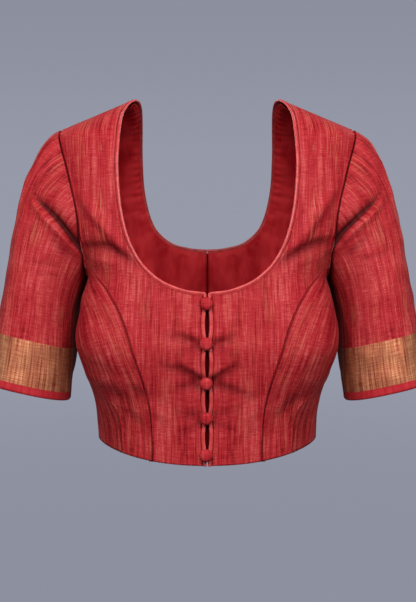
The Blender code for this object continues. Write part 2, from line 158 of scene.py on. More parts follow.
def unit(vectors):
    return vectors / np.linalg.norm(vectors, axis=-1, keepdims=True)


def torso_normal(turn, height):
    around = torso(turn + 0.004, height) - torso(turn - 0.004, height)
    upward = torso(turn, height + 0.0006) - torso(turn, height - 0.0006)
    return unit(np.cross(around, upward))


def turn_at(x, height, from_back=False):
    """The turn at which the form at this height is this far from the middle."""
    x, height = np.broadcast_arrays(np.asarray(x, float), np.asarray(height, float))
    low, high = np.zeros(x.shape), np.full(x.shape, pi / 2)
    for _ in range(36):
        middle = (low + high) / 2
        short = torso(pi - middle if from_back else middle, height)[..., 0] < x
        low, high = np.where(short, middle, low), np.where(short, high, middle)
    return pi - low if from_back else low


def through(points, t):
    """A smooth curve through a short list of pairs, t from 0 to 1 by their distance apart."""
    points = np.array(points, float)
    reach = np.concatenate(([0.0], np.cumsum(np.hypot(*np.diff(points, axis=0).T))))
    last = len(points) - 1
    at = np.asarray(t, float) * reach[-1]
    i = np.clip(np.searchsorted(reach, at + 1e-12, side="right") - 1, 0, last - 1)
    low, high = np.maximum(np.arange(last + 1) - 1, 0), np.minimum(np.arange(last + 1) + 1, last)
    slopes = (points[high] - points[low]) / (reach[high] - reach[low])[:, None]
    gap = (reach[i + 1] - reach[i])[..., None]
    u = (at - reach[i])[..., None] / gap
    return (points[i] * (1 + 2 * u) * (1 - u) ** 2 + slopes[i] * gap * u * (1 - u) ** 2
            + points[i + 1] * u * u * (3 - 2 * u) + slopes[i + 1] * gap * u * u * (u - 1))


# %% [markdown]
# Seam lines
#
# A maker chalks the lines where panels meet: front edge, neckline, princess seam, side seam, armhole
# and hem. Each is kept here as turns and heights on the form, and is read by its length, so that two
# panels that share a line share its points. A panel is then the smooth patch held by its four lines.

# %% Sizes of the seam lines
CLOTH, LINING, SEAM_GAP = 0.0015, 0.0010, 0.0003
CORD_RADIUS, CORD_GAP = 0.0014, 0.0010
FRONT_NECK = (
    (0.0000, -0.1918), (0.0268, -0.1884), (0.0540, -0.1763), (0.0763, -0.1536),
    (0.0914, -0.1158), (0.0984, -0.0600), (0.0968, -0.0138), (0.0947, 0.0008), (0.0908, 0.0092),
    (0.0870, 0.0135),
    (NECK_POINT_X, NECK_POINT_Z),
)
BACK_NECK = (
    (0.0000, -0.1570), (0.0200, -0.1555), (0.0450, -0.1480), (0.0655, -0.1275),
    (0.0765, -0.0890), (0.0787, -0.0460), (0.0774, -0.0060), (0.0773, 0.0060), (0.0779, 0.0116),
    (0.0790, 0.0146), (0.0811, 0.0162), (NECK_POINT_X, NECK_POINT_Z),
)
PRINCESS = (
    (0.0585, -0.3720), (0.0592, -0.3400), (0.0610, -0.3170), (0.0645, -0.2980), (0.0710, -0.2750),
    (0.0785, -0.2520), (0.0850, -0.2300), (0.0935, -0.2096), (0.1073, -0.1875), (0.1200, -0.1745),
)
SIDE_SEAM = (
    (radians(46.7), -0.3660), (radians(47.3), -0.3350), (radians(49.0), -0.3174),
    (radians(53.5), -0.3098), (radians(61.0), -0.3008), (radians(74.0), -0.2880),
    (radians(84.0), -0.2620), (radians(89.0), -0.2200),
)
ARMHOLE_LOW_Z = -0.178
ARMHOLE_FRONT, ARMHOLE_BACK, ARMHOLE_EGG = 0.049, 0.060, 0.46
ARMHOLE_TOP_FULL, ARMHOLE_TOP_SPREAD = 1.6, 0.38
PRINCESS_MEETS = radians(143)
BUTTON_HEIGHTS = (-0.2000, -0.2420, -0.2840, -0.3220, -0.3620)
EDGE_CLOSED, EDGE_PARTED = 0.0007, 0.0016
FRONT_LOWER_SHARE, PRINCESS_SHARE = 16 / 38, 21 / 38
BACK_LOWER_SHARE, SIDE_SHARE = 10 / 30, 14 / 30


# %% Lines and the patches between them
class Line:
    """A line on the form kept as turns and heights, read by its length in space."""

    def __init__(self, turns, heights):
        self.turns, self.heights = np.asarray(turns, float), np.asarray(heights, float)
        places = torso(self.turns, self.heights)
        steps = np.linalg.norm(np.diff(places, axis=0), axis=1)
        self.reach = np.concatenate(([0.0], np.cumsum(steps)))
        self.length = float(self.reach[-1])

    def at(self, t):
        wanted = np.clip(t, 0, 1) * self.length
        return np.stack((np.interp(wanted, self.reach, self.turns),
                         np.interp(wanted, self.reach, self.heights)))


def joined(first, share, second):
    """One edge made of two lines, the first taking up this share of it."""
    def at(t):
        t = np.asarray(t, float)
        return np.where(t < share, first.at(t / share), second.at((t - share) / (1 - share)))
    return at


def armhole(angle):
    """Turn and height on the armhole: angle 0 at the shoulder, half pi in front, pi underarm."""
    angle = np.asarray(angle, float)
    top, low = SHOULDER_TIP_Z, ARMHOLE_LOW_Z
    height = (top + low) / 2 + (top - low) / 2 * np.cos(angle)
    reach = np.where(np.sin(angle) >= 0, ARMHOLE_FRONT, ARMHOLE_BACK)
    fuller = 1 + ARMHOLE_TOP_FULL * np.exp(-2 * (1 - np.cos(angle)) / ARMHOLE_TOP_SPREAD ** 2)
    y = -reach * np.sin(angle) * (1 - ARMHOLE_EGG * np.cos(angle)) * fuller
    front, back, square = ring(height)[1:4]
    in_front = np.arccos(np.clip(-y / front, 0, 1) ** (square / 2))
    behind = pi - np.arccos(np.clip(y / back, 0, 1) ** (square / 2))
    return np.stack((np.where(y <= 0, in_front, behind), height))


def hem(turn):
    drop = np.where(np.cos(turn) > 0, HEM_FRONT_DROP, HEM_BACK_DROP)
    return np.stack((turn, HEM_SIDE_Z - drop * np.cos(turn) ** 2))


def edge_opening(height):
    """Half the gap between the corded front edges: closed at each button, bowed between them."""
    opening = np.full(np.shape(height), EDGE_CLOSED)
    for low, high in zip(BUTTON_HEIGHTS[1:], BUTTON_HEIGHTS):
        between = np.clip((height - low) / (high - low), 0, 1)
        opening = opening + EDGE_PARTED * np.sin(pi * between) ** 1.4
    return opening


def hem_between(first, second):
    turns = np.linspace(first.at(0)[0], second.at(0)[0], 60)
    return Line(*hem(turns))


def patch(inner, outer, foot, top):
    """A panel held by its four edges: u from inner to outer edge, v from foot to top."""
    def place(u, v):
        corner = [edge(end)[:, None] for end in (0, 1) for edge in (inner, outer)]
        return ((1 - u) * inner(v) + u * outer(v) + (1 - v) * foot(u) + v * top(u)
                - (1 - u) * (1 - v) * corner[0] - u * (1 - v) * corner[1]
                - (1 - u) * v * corner[2] - u * v * corner[3])
    return place


# %% The blouse's own lines and panels
HEM_FRONT_Z, HEM_BACK_Z = float(hem(0.0)[1]), float(hem(pi)[1])
NECK_FRONT_Z, NECK_BACK_Z = FRONT_NECK[0][1], BACK_NECK[0][1]
EDGE_INSET = 2 * CORD_RADIUS + CORD_GAP
front_heights = np.linspace(HEM_FRONT_Z, NECK_FRONT_Z, 160)
FRONT_EDGE = Line(turn_at(edge_opening(front_heights) + EDGE_INSET, front_heights), front_heights)
front_corner_x = float(edge_opening(NECK_FRONT_Z)) + EDGE_INSET
front_neck = through(((front_corner_x, NECK_FRONT_Z),) + FRONT_NECK[1:], np.linspace(0, 1, 140)).T
FRONT_NECKLINE = Line(turn_at(*front_neck), front_neck[1])
back_neck = through(((SEAM_GAP, NECK_BACK_Z),) + BACK_NECK[1:], np.linspace(0, 1, 140)).T
BACK_NECKLINE = Line(turn_at(*back_neck, from_back=True), back_neck[1])
SHOULDER_SEAM = Line(np.full(40, pi / 2), np.linspace(NECK_POINT_Z, SHOULDER_TIP_Z, 40))
princess = through(PRINCESS, np.linspace(0, 1, 120)).T
princess_top = armhole(PRINCESS_MEETS)
PRINCESS_SEAM = Line(np.append(turn_at(*princess), princess_top[0]),
                     np.append(princess[1], princess_top[1]))
side_seam = through(SIDE_SEAM, np.linspace(0, 1, 120)).T
underarm = armhole(pi)
SIDE_LINE = Line(np.append(side_seam[0], underarm[0]), np.append(side_seam[1], underarm[1]))
UPPER_ARMHOLE = Line(*armhole(np.linspace(PRINCESS_MEETS, 0, 90)))
UNDERARM = Line(*armhole(np.linspace(PRINCESS_MEETS, pi, 40)))
BACK_ARMHOLE = Line(*armhole(np.linspace(pi, 2 * pi, 110)))
back_heights = np.linspace(HEM_BACK_Z, NECK_BACK_Z, 60)
CENTRE_BACK = Line(turn_at(SEAM_GAP, back_heights, from_back=True), back_heights)
FRONT_CENTRE = patch(joined(FRONT_EDGE, FRONT_LOWER_SHARE, FRONT_NECKLINE),
                     joined(PRINCESS_SEAM, PRINCESS_SHARE, UPPER_ARMHOLE),
                     hem_between(FRONT_EDGE, PRINCESS_SEAM).at, SHOULDER_SEAM.at)
FRONT_SIDE = patch(PRINCESS_SEAM.at, SIDE_LINE.at,
                   hem_between(PRINCESS_SEAM, SIDE_LINE).at, UNDERARM.at)
BACK = patch(joined(CENTRE_BACK, BACK_LOWER_SHARE, BACK_NECKLINE),
             joined(SIDE_LINE, SIDE_SHARE, BACK_ARMHOLE),
             hem_between(CENTRE_BACK, SIDE_LINE).at, SHOULDER_SEAM.at)
for title, line in (("front edge", FRONT_EDGE), ("front neck", FRONT_NECKLINE),
                    ("back neck", BACK_NECKLINE), ("princess seam", PRINCESS_SEAM)):
    print(title, round(line.length * 1000), "mm")

# %% [markdown]
# The sleeve's form
#
# A sleeve is a tube whose head is sewn into the armhole. It could be a bent cylinder, but a set-in
# sleeve leaves the shoulder nearly level, and turns down over the arm. So every angle round the
# armhole gets its own curve from the seam to the hem, which leaves the seam in one direction and
# arrives at the hem in the arm's.

# %% Sleeve curves
CUFF_CENTRE = np.array((0.1975, -0.0200, -0.3040))
CUFF_HALF_WIDTH, CUFF_HALF_DEPTH = 0.0459, 0.0520
CUFF_RISE, CUFF_TILT, CUFF_SQUARE = 0.0028, radians(12.5), 2.5
ARM_OUT, ARM_FORWARD = radians(9.9), radians(5)
CAP_SLOPE, UNDERARM_SPREAD = radians(-19.5), radians(30)
CAP_REACH, CAP_HANG, UNDERARM_HANG = 0.047, 0.60, 0.35
SLEEVE_GAP = 0.0006


def cuff(angle):
    across = np.array((cos(CUFF_TILT), 0, sin(CUFF_TILT))) * CUFF_HALF_WIDTH
    forward = np.array((0, -CUFF_HALF_DEPTH, CUFF_RISE))
    out, ahead = (power(part(angle), 2 / CUFF_SQUARE)[..., None] for part in (np.cos, np.sin))
    return CUFF_CENTRE + across * out + forward * ahead


def sleeve(angle, down):
    """Points of the sleeve: angle round it as on the armhole, down from 0 there to 1 at the hem."""
    angle, down = np.broadcast_arrays(np.asarray(angle, float), np.asarray(down, float))
    upper = ((1 + np.cos(angle)) / 2)[..., None]
    stops = armhole(angle)
    clear = torso_normal(*stops) * SLEEVE_GAP * (1 - upper) ** 0.5
    start = torso(*stops) + clear + np.array((SLEEVE_GAP, 0, 0))
    end = cuff(angle)
    leave = (np.array((cos(CAP_SLOPE), 0, sin(CAP_SLOPE))) * upper
             + np.array((sin(UNDERARM_SPREAD), 0, -cos(UNDERARM_SPREAD))) * (1 - upper))
    hang = unit(np.array((sin(ARM_OUT), -sin(ARM_FORWARD), -cos(ARM_OUT))))
    length = np.linalg.norm(end - start, axis=-1, keepdims=True)
    lead = CAP_REACH * upper + UNDERARM_HANG * length * (1 - upper)
    follow = length * (CAP_HANG * upper + UNDERARM_HANG * (1 - upper))
    second, third = start + unit(leave) * lead, end - hang * follow
    down, rest = down[..., None], 1 - down[..., None]
    return (start * rest ** 3 + second * 3 * rest ** 2 * down
            + third * 3 * rest * down ** 2 + end * down ** 3)


def sleeve_normal(angle, down):
    around = sleeve(angle + 0.02, down) - sleeve(angle - 0.02, down)
    along = sleeve(angle, np.clip(down + 0.01, 0, 1)) - sleeve(angle, np.clip(down - 0.01, 0, 1))
    return unit(np.cross(around, along))


# %% [markdown]
# Grain
#
# Woven cloth shows its warp and weft, so a pattern has to lie on the cloth as it was cut, in metres.
# Charts give each place its distance round the body and up it, or its distance above the sleeve's hem,
# which also places the woven border. They are read between their rows like any map.

# %% Charts of distance over the cloth
CHART_HEIGHTS, CHART_TURNS = np.linspace(-0.377, 0.0189, 200), np.linspace(0, pi, 181)
chart_places = torso(CHART_TURNS[None, :], CHART_HEIGHTS[:, None])


def run_up(places, axis):
    """Distance run along one axis of a grid of places, from its first row or column."""
    steps = np.linalg.norm(np.diff(places, axis=axis), axis=-1)
    start = np.zeros_like(np.take(steps, [0], axis=axis))
    return np.concatenate((start, np.cumsum(steps, axis=axis)), axis=axis)


def read_chart(chart, row, column):
    """A chart read between its rows and columns, whose numbers may be fractions."""
    i = np.clip(np.floor(row).astype(int), 0, chart.shape[0] - 2)
    j = np.clip(np.floor(column).astype(int), 0, chart.shape[1] - 2)
    a, b = row - i, column - j
    low = chart[i, j] * (1 - b) + chart[i, j + 1] * b
    high = chart[i + 1, j] * (1 - b) + chart[i + 1, j + 1] * b
    return low * (1 - a) + high * a


ROUND_BODY, UP_BODY = run_up(chart_places, 1), run_up(chart_places, 0)
SLEEVE_ANGLES, SLEEVE_DOWNS = np.linspace(-pi, pi, 145), np.linspace(0, 1, 81)
SLEEVE_RUN = run_up(sleeve(SLEEVE_ANGLES[:, None], SLEEVE_DOWNS[None, :]), 1)
SLEEVE_FROM_HEM = SLEEVE_RUN[:, -1:] - SLEEVE_RUN
SLEEVE_GIRTH = 0.050


def read_body(chart, turn, height):
    row = (height - CHART_HEIGHTS[0]) / (CHART_HEIGHTS[1] - CHART_HEIGHTS[0])
    return read_chart(chart, row, turn / CHART_TURNS[1])


def body_grain(turn, height):
    """Distance round from the centre front, and up the centre front or the centre back."""
    middle = np.where(np.cos(turn) > 0, 0.0, pi)
    return np.stack((read_body(ROUND_BODY, turn, height), read_body(UP_BODY, middle, height)), axis=-1)


def read_sleeve(chart, angle, down):
    row = (angle + pi) / (SLEEVE_ANGLES[1] - SLEEVE_ANGLES[0])
    return read_chart(chart, row, down * (len(SLEEVE_DOWNS) - 1))


over_the_shoulder = float(SLEEVE_FROM_HEM[len(SLEEVE_ANGLES) // 2, 0])
print("Sleeve length over the shoulder:", round(over_the_shoulder, 3))

# %% [markdown]
# Creases
#
# Worn silk breaks into soft folds where it is pulled: from the armhole towards the neck, beside each
# button, under the bust, and in one deep fold at the front of each sleeve. Cloth simulation could find
# folds, but not these ones. Each is given as a path seen from the front, with how far it rises
# or sinks, how wide it is above and below the path, and whether it starts full, at a seam or button.
# Each piece also carries a mask of painted shade, which darkens its colour in sunk folds, in seam
# ditches and in other places where shade would fall. The rest of the cloth's unevenness is a few soft
# waves added up, each in a direction drawn at random.

# %% Crease tables
# Columns: path, lift, half width above, half width below, starts full
FRONT_CREASES = {
    "left": (
        (((0.1460, -0.0690), (0.1408, -0.0761), (0.1202, -0.1046), (0.1044, -0.1279), (0.0839, -0.1473)),
         0.0046, 0.0075, 0.0060, False),
        (((0.1440, -0.1330), (0.1318, -0.1369), (0.1156, -0.1391), (0.1002, -0.1456), (0.0829, -0.1555),
          (0.0720, -0.1620)), -0.0040, 0.0050, 0.0065, False),
        (((0.1282, -0.1598), (0.1114, -0.1525), (0.0958, -0.1581)), 0.0013, 0.0045, 0.0060, False),
        (((0.1360, -0.1480), (0.1290, -0.1540), (0.1210, -0.1600)), -0.0010, 0.0030, 0.0030, False),
        (((0.0062, -0.2410), (0.0212, -0.2384), (0.0371, -0.2332)), -0.0026, 0.0041, 0.0054, True),
        (((0.0075, -0.2358), (0.0185, -0.2289), (0.0288, -0.2224)), 0.0012, 0.0058, 0.0060, True),
        (((0.0062, -0.2470), (0.0190, -0.2500), (0.0360, -0.2560)), -0.0010, 0.0043, 0.0075, True),
        (((0.0062, -0.2805), (0.0211, -0.2720), (0.0403, -0.2634)), -0.0033, 0.0046, 0.0063, True),
        (((0.0075, -0.2751), (0.0187, -0.2664), (0.0290, -0.2578)), 0.0015, 0.0065, 0.0060, True),
        (((0.0062, -0.2850), (0.0212, -0.2902), (0.0408, -0.2984), (0.0588, -0.3080)),
         -0.0029, 0.0052, 0.0069, True),
        (((0.0062, -0.3200), (0.0230, -0.3160), (0.0400, -0.3080)), -0.0015, 0.0049, 0.0060, True),
        (((0.0062, -0.3280), (0.0200, -0.3330), (0.0370, -0.3380)), -0.0014, 0.0049, 0.0067, True),
        (((0.0620, -0.3000), (0.0480, -0.3160), (0.0380, -0.3300)), 0.0011, 0.0060, 0.0060, False),
        (((0.0980, -0.3000), (0.0800, -0.3180), (0.0660, -0.3260)), -0.0015, 0.0060, 0.0060, False),
        (((0.0560, -0.3350), (0.0420, -0.3440), (0.0300, -0.3500)), -0.0009, 0.0060, 0.0060, False),
    ),
    "right": (
        (((0.1400, -0.0800), (0.1337, -0.0908), (0.1212, -0.1080), (0.1056, -0.1257), (0.0913, -0.1434),
          (0.0840, -0.1500)), 0.0042, 0.0070, 0.0058, False),
        (((0.1430, -0.1445), (0.1322, -0.1434), (0.1078, -0.1417), (0.0937, -0.1486), (0.0807, -0.1568),
          (0.0710, -0.1625)), -0.0038, 0.0050, 0.0062, False),
        (((0.1295, -0.1602), (0.1114, -0.1577), (0.0970, -0.1624)), 0.0014, 0.0045, 0.0060, False),
        (((0.1360, -0.1500), (0.1300, -0.1560), (0.1220, -0.1620)), -0.0010, 0.0030, 0.0030, False),
        (((0.0085, -0.2405), (0.0246, -0.2362), (0.0391, -0.2340), (0.0509, -0.2293)),
         -0.0026, 0.0043, 0.0060, True),
        (((0.0100, -0.2370), (0.0268, -0.2241), (0.0392, -0.2159)), 0.0014, 0.0065, 0.0067, True),
        (((0.0085, -0.2460), (0.0220, -0.2500), (0.0380, -0.2540)), -0.0011, 0.0043, 0.0075, True),
        (((0.0085, -0.2798), (0.0258, -0.2707), (0.0416, -0.2681), (0.0573, -0.2647)),
         -0.0035, 0.0049, 0.0072, True),
        (((0.0100, -0.2750), (0.0231, -0.2643), (0.0337, -0.2574)), 0.0015, 0.0065, 0.0067, True),
        (((0.0085, -0.2850), (0.0282, -0.2902), (0.0418, -0.2962)), -0.0026, 0.0051, 0.0067, True),
        (((0.0088, -0.3200), (0.0235, -0.3190), (0.0393, -0.3140)), -0.0019, 0.0052, 0.0067, True),
        (((0.0088, -0.3290), (0.0240, -0.3400), (0.0380, -0.3480)), -0.0013, 0.0052, 0.0067, True),
        (((0.0866, -0.2880), (0.0709, -0.2980), (0.0609, -0.3080)), -0.0016, 0.0055, 0.0060, False),
        (((0.0640, -0.3060), (0.0500, -0.3180), (0.0380, -0.3240)), 0.0011, 0.0060, 0.0060, False),
        (((0.0900, -0.3120), (0.0760, -0.3260), (0.0640, -0.3340)), -0.0013, 0.0060, 0.0060, False),
    ),
}
BACK_CREASES = {
    "left": (
        (((0.1480, -0.100), (0.1250, -0.124), (0.1000, -0.150)), 0.0030, 0.0090, 0.0070, False),
        (((0.1400, -0.128), (0.1180, -0.150), (0.0960, -0.172)), -0.0026, 0.0070, 0.0090, False),
        (((0.1150, -0.232), (0.0820, -0.250), (0.0480, -0.256)), -0.0016, 0.0080, 0.0100, False),
        (((0.1080, -0.288), (0.0750, -0.300), (0.0400, -0.304)), 0.0016, 0.0090, 0.0080, False),
        (((0.0900, -0.318), (0.0580, -0.330), (0.0260, -0.332)), -0.0013, 0.0070, 0.0090, False),
    ),
    "right": (
        (((0.1470, -0.108), (0.1230, -0.130), (0.0960, -0.158)), 0.0028, 0.0090, 0.0070, False),
        (((0.1390, -0.140), (0.1160, -0.158), (0.0930, -0.180)), -0.0024, 0.0070, 0.0080, False),
        (((0.1180, -0.246), (0.0860, -0.260), (0.0520, -0.270)), -0.0015, 0.0090, 0.0090, False),
        (((0.1040, -0.280), (0.0720, -0.290), (0.0360, -0.288)), 0.0014, 0.0080, 0.0080, False),
        (((0.0960, -0.326), (0.0640, -0.334), (0.0300, -0.342)), -0.0012, 0.0080, 0.0080, False),
    ),
}
SLEEVE_CREASES = {
    "left": (
        (((0.1918, -0.0818), (0.1888, -0.0938), (0.1812, -0.1046), (0.1684, -0.1166), (0.1529, -0.1300),
          (0.1372, -0.1466), (0.1290, -0.1560)), 0.0044, 0.0019, 0.0055, False),
        (((0.1904, -0.0840), (0.1862, -0.0903), (0.1775, -0.0994), (0.1615, -0.1144), (0.1461, -0.1292),
          (0.1372, -0.1414), (0.1290, -0.1510)), -0.0076, 0.0085, 0.0027, False),
        (((0.1665, -0.0238), (0.1818, -0.0449), (0.1916, -0.0666), (0.1932, -0.0792)),
         -0.0020, 0.0050, 0.0024, False),
        (((0.1720, -0.0255), (0.1870, -0.0450), (0.1962, -0.0660), (0.1990, -0.0800)),
         -0.0012, 0.0020, 0.0020, False),
        (((0.1780, -0.1260), (0.1620, -0.1420), (0.1450, -0.1560)), -0.0014, 0.0060, 0.0080, False),
        (((0.1980, -0.1500), (0.1800, -0.1530), (0.1600, -0.1560)), -0.0009, 0.0028, 0.0050, False),
    ),
    "right": (
        (((0.1909, -0.0816), (0.1909, -0.0899), (0.1854, -0.1014), (0.1725, -0.1150), (0.1569, -0.1301),
          (0.1392, -0.1492), (0.1300, -0.1590)), 0.0044, 0.0020, 0.0058, False),
        (((0.1897, -0.0845), (0.1865, -0.0908), (0.1766, -0.1007), (0.1658, -0.1112), (0.1503, -0.1293),
          (0.1386, -0.1445), (0.1300, -0.1540)), -0.0080, 0.0080, 0.0030, False),
        (((0.1675, -0.0242), (0.1832, -0.0420), (0.1918, -0.0605), (0.1935, -0.0761)),
         -0.0018, 0.0050, 0.0024, False),
        (((0.1730, -0.0270), (0.1880, -0.0440), (0.1965, -0.0640), (0.1985, -0.0800)),
         -0.0012, 0.0020, 0.0020, False),
        (((0.1730, -0.1300), (0.1580, -0.1450), (0.1440, -0.1570)), -0.0014, 0.0060, 0.0080, False),
        (((0.1960, -0.1590), (0.1780, -0.1610), (0.1580, -0.1620)), -0.0009, 0.0028, 0.0050, False),
        (((0.1900, -0.1720), (0.1740, -0.1730), (0.1580, -0.1740)), -0.0007, 0.0028, 0.0040, False),
    ),
}
SLEEVE_BACK_CREASES = (
    (((0.1890, -0.0820), (0.1740, -0.1060), (0.1560, -0.1300), (0.1400, -0.1500)),
     0.0036, 0.0040, 0.0080, False),
    (((0.1800, -0.0860), (0.1650, -0.1080), (0.1500, -0.1290), (0.1380, -0.1460)),
     -0.0044, 0.0065, 0.0040, False),
    (((0.1980, -0.1560), (0.1780, -0.1620), (0.1580, -0.1640)), -0.0010, 0.0050, 0.0060, False),
)


# %% How far creases lift the cloth
PATH_STOPS = 60
# Folds fade with this power of how squarely the form faces the front or the back.
FACING_FADE = 0.3


def crease_lift(creases, x, z):
    """How far creases raise or sink the cloth at places seen from the front."""
    lift = np.zeros(x.shape)
    for path, height, above, below, starts_full in creases:
        stops = through(path, np.linspace(0, 1, PATH_STOPS))
        heading = unit(np.gradient(stops, axis=0))
        reach = float(np.hypot(*np.diff(stops, axis=0).T).sum())
        margin = 3 * max(above, below)
        low, high = stops.min(0) - margin, stops.max(0) + margin
        near = np.flatnonzero((x > low[0]) & (x < high[0]) & (z > low[1]) & (z < high[1]))
        offset = np.stack((x[near], z[near]), axis=-1)[:, None, :] - stops
        closest = (offset ** 2).sum(-1).argmin(1)
        offset = offset[np.arange(len(near)), closest]
        ahead = heading[closest]
        along = closest / (PATH_STOPS - 1) + (offset * ahead).sum(-1) / reach
        aside = ahead[:, 0] * offset[:, 1] - ahead[:, 1] * offset[:, 0]
        is_above = aside * np.sign(ahead[:, 0]) > 0
        wide = np.where(is_above, above, below)
        t = np.clip(along, 0, 1)
        fade = np.cos(pi / 2 * t) ** 1.2 if starts_full else np.sin(pi * t) ** 0.8
        past_end = bell((along - t) * reach, wide)
        lift[near] += height * fade * past_end * bell(aside, wide)
    return lift


def crease_shade(creases, x, z, full_depth, spread):
    """How much painted shade sunk creases get, from 0 to 1, over a share of their width."""
    sunk = [(path, -height / full_depth, spread * above, spread * below, starts_full)
            for path, height, above, below, starts_full in creases if height < 0]
    return np.clip(crease_lift(sunk, x, z), 0, 1)


def uneven(grain, depth, seed):
    """Very soft hills and hollows, a few centimetres across, as no worn cloth is even."""
    waves = np.random.default_rng(seed)
    total = np.zeros(len(grain))
    for _ in range(7):
        way = waves.uniform(0, 2 * pi)
        long = waves.uniform(0.026, 0.075)
        phase = waves.uniform(0, 2 * pi)
        total += np.sin((grain[:, 0] * cos(way) + grain[:, 1] * sin(way)) * 2 * pi / long + phase)
    return depth * total / 3


crease_sets = [SLEEVE_BACK_CREASES]
for table in (FRONT_CREASES, BACK_CREASES, SLEEVE_CREASES):
    crease_sets.extend(table.values())
print("Creases laid by hand:", sum(len(creases) for creases in crease_sets))

# %% [markdown]
# Threads in the shader
#
# Raw silk is woven from thick and thin yarn: both directions show fine threads, with thicker slubs
# and a few golden ones. A picture could carry it, but noise drawn out along each direction costs
# nothing and never repeats. The helpers here add one node each, so a group reads like a recipe.

# %% Helpers for shader nodes
NOISE_ROUGH = 0.6


def add(tree, kind, inputs=None, **settings):
    """A shader node with its settings, and its inputs set or linked."""
    made = tree.nodes.new("ShaderNode" + kind)
    for name, value in settings.items():
        setattr(made, name, value)
    for name, value in (inputs or {}).items():
        if isinstance(value, bpy.types.NodeSocket):
            tree.links.new(value, made.inputs[name])
        else:
            made.inputs[name].default_value = value
    return made


def calc(tree, operation, a, b):
    return add(tree, "Math", {0: a, 1: b}, operation=operation).outputs[0]


def weighed(tree, *marks):
    """Marks added up, each given with its weight."""
    whole = 0.0
    for mark, weight in marks:
        whole = calc(tree, "ADD", calc(tree, "MULTIPLY", mark, weight), whole)
    return whole


def between(tree, value, low, high, to_low=0.0, to_high=1.0):
    """Turns a range of values into another, softly at both ends."""
    return add(tree, "MapRange", {"Value": value, "From Min": low, "From Max": high, "To Min": to_low,
                                  "To Max": to_high}, interpolation_type="SMOOTHSTEP").outputs[0]


def blend(tree, share, a, b, kind="MIX"):
    """A colour mixed from two."""
    made = add(tree, "Mix", data_type="RGBA", blend_type=kind)
    for socket, value in zip((made.inputs[0], made.inputs[6], made.inputs[7]), (share, a, b)):
        if isinstance(value, bpy.types.NodeSocket):
            tree.links.new(value, socket)
        else:
            socket.default_value = value
    return made.outputs[2]


def streaks(tree, cloth, wide, long, shift=0.0, detail=3.0):
    """Noise drawn out over the cloth: marks so wide across the body and so long up it."""
    mapped = add(tree, "Mapping", {"Vector": cloth, "Location": (shift, 0.37 * shift, 0.0),
                                   "Scale": (1 / wide, 1 / long, 1.0)})
    noise = add(tree, "TexNoise", {"Vector": mapped.outputs[0], "Scale": 1.0, "Detail": detail,
                                   "Roughness": NOISE_ROUGH}, noise_dimensions="2D")
    return noise.outputs["Fac"]


def new_group(name, inputs, outputs):
    """An empty node group with named sockets, and its input and output nodes."""
    tree = bpy.data.node_groups.new(name, "ShaderNodeTree")
    for title, kind, default in inputs:
        socket = tree.interface.new_socket(name=title, in_out="INPUT", socket_type="NodeSocket" + kind)
        if default is not None:
            socket.default_value = default
    for title, kind in outputs:
        tree.interface.new_socket(name=title, in_out="OUTPUT", socket_type="NodeSocket" + kind)
    return tree, tree.nodes.new("NodeGroupInput").outputs, tree.nodes.new("NodeGroupOutput").inputs


# %% The raw silk group


def raw_silk_group():
    """Warp, weft, slubs and golden threads over the cloth's own metres."""
    tree, given, out = new_group(
        "raw_silk_weave",
        (("Cloth", "Vector", None), ("Deep", "Color", (0.2, 0.01, 0.01, 1)),
         ("Middle", "Color", (0.4, 0.03, 0.03, 1)), ("Bright", "Color", (0.6, 0.1, 0.1, 1)),
         ("Gold", "Color", (0.6, 0.2, 0.1, 1)), ("Gold Share", "Float", 0.5),
         ("Contrast", "Float", 1.0)),
        (("Colour", "Color"), ("Roughness", "Float"), ("Height", "Float")))
    cloth = given["Cloth"]
    warp = streaks(tree, cloth, 0.0013, 0.026)
    weft = streaks(tree, cloth, 0.011, 0.0013, shift=5.0)
    warp_bands = streaks(tree, cloth, 0.0060, 0.150, shift=11.0, detail=2.0)
    weft_bands = streaks(tree, cloth, 0.100, 0.0060, shift=17.0, detail=2.0)
    clouds = streaks(tree, cloth, 0.034, 0.060, shift=23.0, detail=2.0)
    grain = streaks(tree, cloth, 0.0008, 0.0008, shift=29.0, detail=2.0)
    marks = ((warp, 0.68), (weft, 0.48), (warp_bands, 0.66), (weft_bands, 0.14),
             (clouds, 0.34), (grain, 0.34))
    even = sum(weight for _, weight in marks) / 2
    centred = calc(tree, "SUBTRACT", weighed(tree, *marks), even)
    tone = calc(tree, "ADD", calc(tree, "MULTIPLY", centred, given["Contrast"]), 0.5)
    low_mix = blend(tree, between(tree, tone, 0.18, 0.52), given["Deep"], given["Middle"])
    colour = blend(tree, between(tree, tone, 0.48, 0.90), low_mix, given["Bright"])
    slub = between(tree, streaks(tree, cloth, 0.014, 0.0013, shift=31.0, detail=1.0), 0.66, 0.76)
    colour = blend(tree, calc(tree, "MULTIPLY", slub, 0.16), colour, given["Bright"])
    gold_thread = between(tree, streaks(tree, cloth, 0.0014, 0.040, shift=41.0, detail=2.0), 0.53, 0.68)
    gold_patch = between(tree, streaks(tree, cloth, 0.022, 0.120, shift=43.0, detail=1.0), 0.40, 0.62)
    gold = calc(tree, "MULTIPLY", calc(tree, "MULTIPLY", gold_thread, gold_patch), given["Gold Share"])
    colour = blend(tree, gold, colour, given["Gold"])
    tree.links.new(colour, out["Colour"])
    tree.links.new(between(tree, tone, 0.1, 0.9, 0.66, 0.52), out["Roughness"])
    tree.links.new(weighed(tree, (warp, 1.0), (weft, 1.0), (slub, 0.7), (grain, 0.6)), out["Height"])
    return tree


RAW_SILK = raw_silk_group()
print("Nodes in the silk weave:", len(RAW_SILK.nodes))

# %% [markdown]
# Finishes
#
# One weave serves every outer panel, with its own depth of colour. The border is metal thread woven
# into the sleeve's silk, so it is the same cloth with another colour and some metal between two
# heights above the hem. Satin shows almost no thread: it is smooth, deeper and glossier.

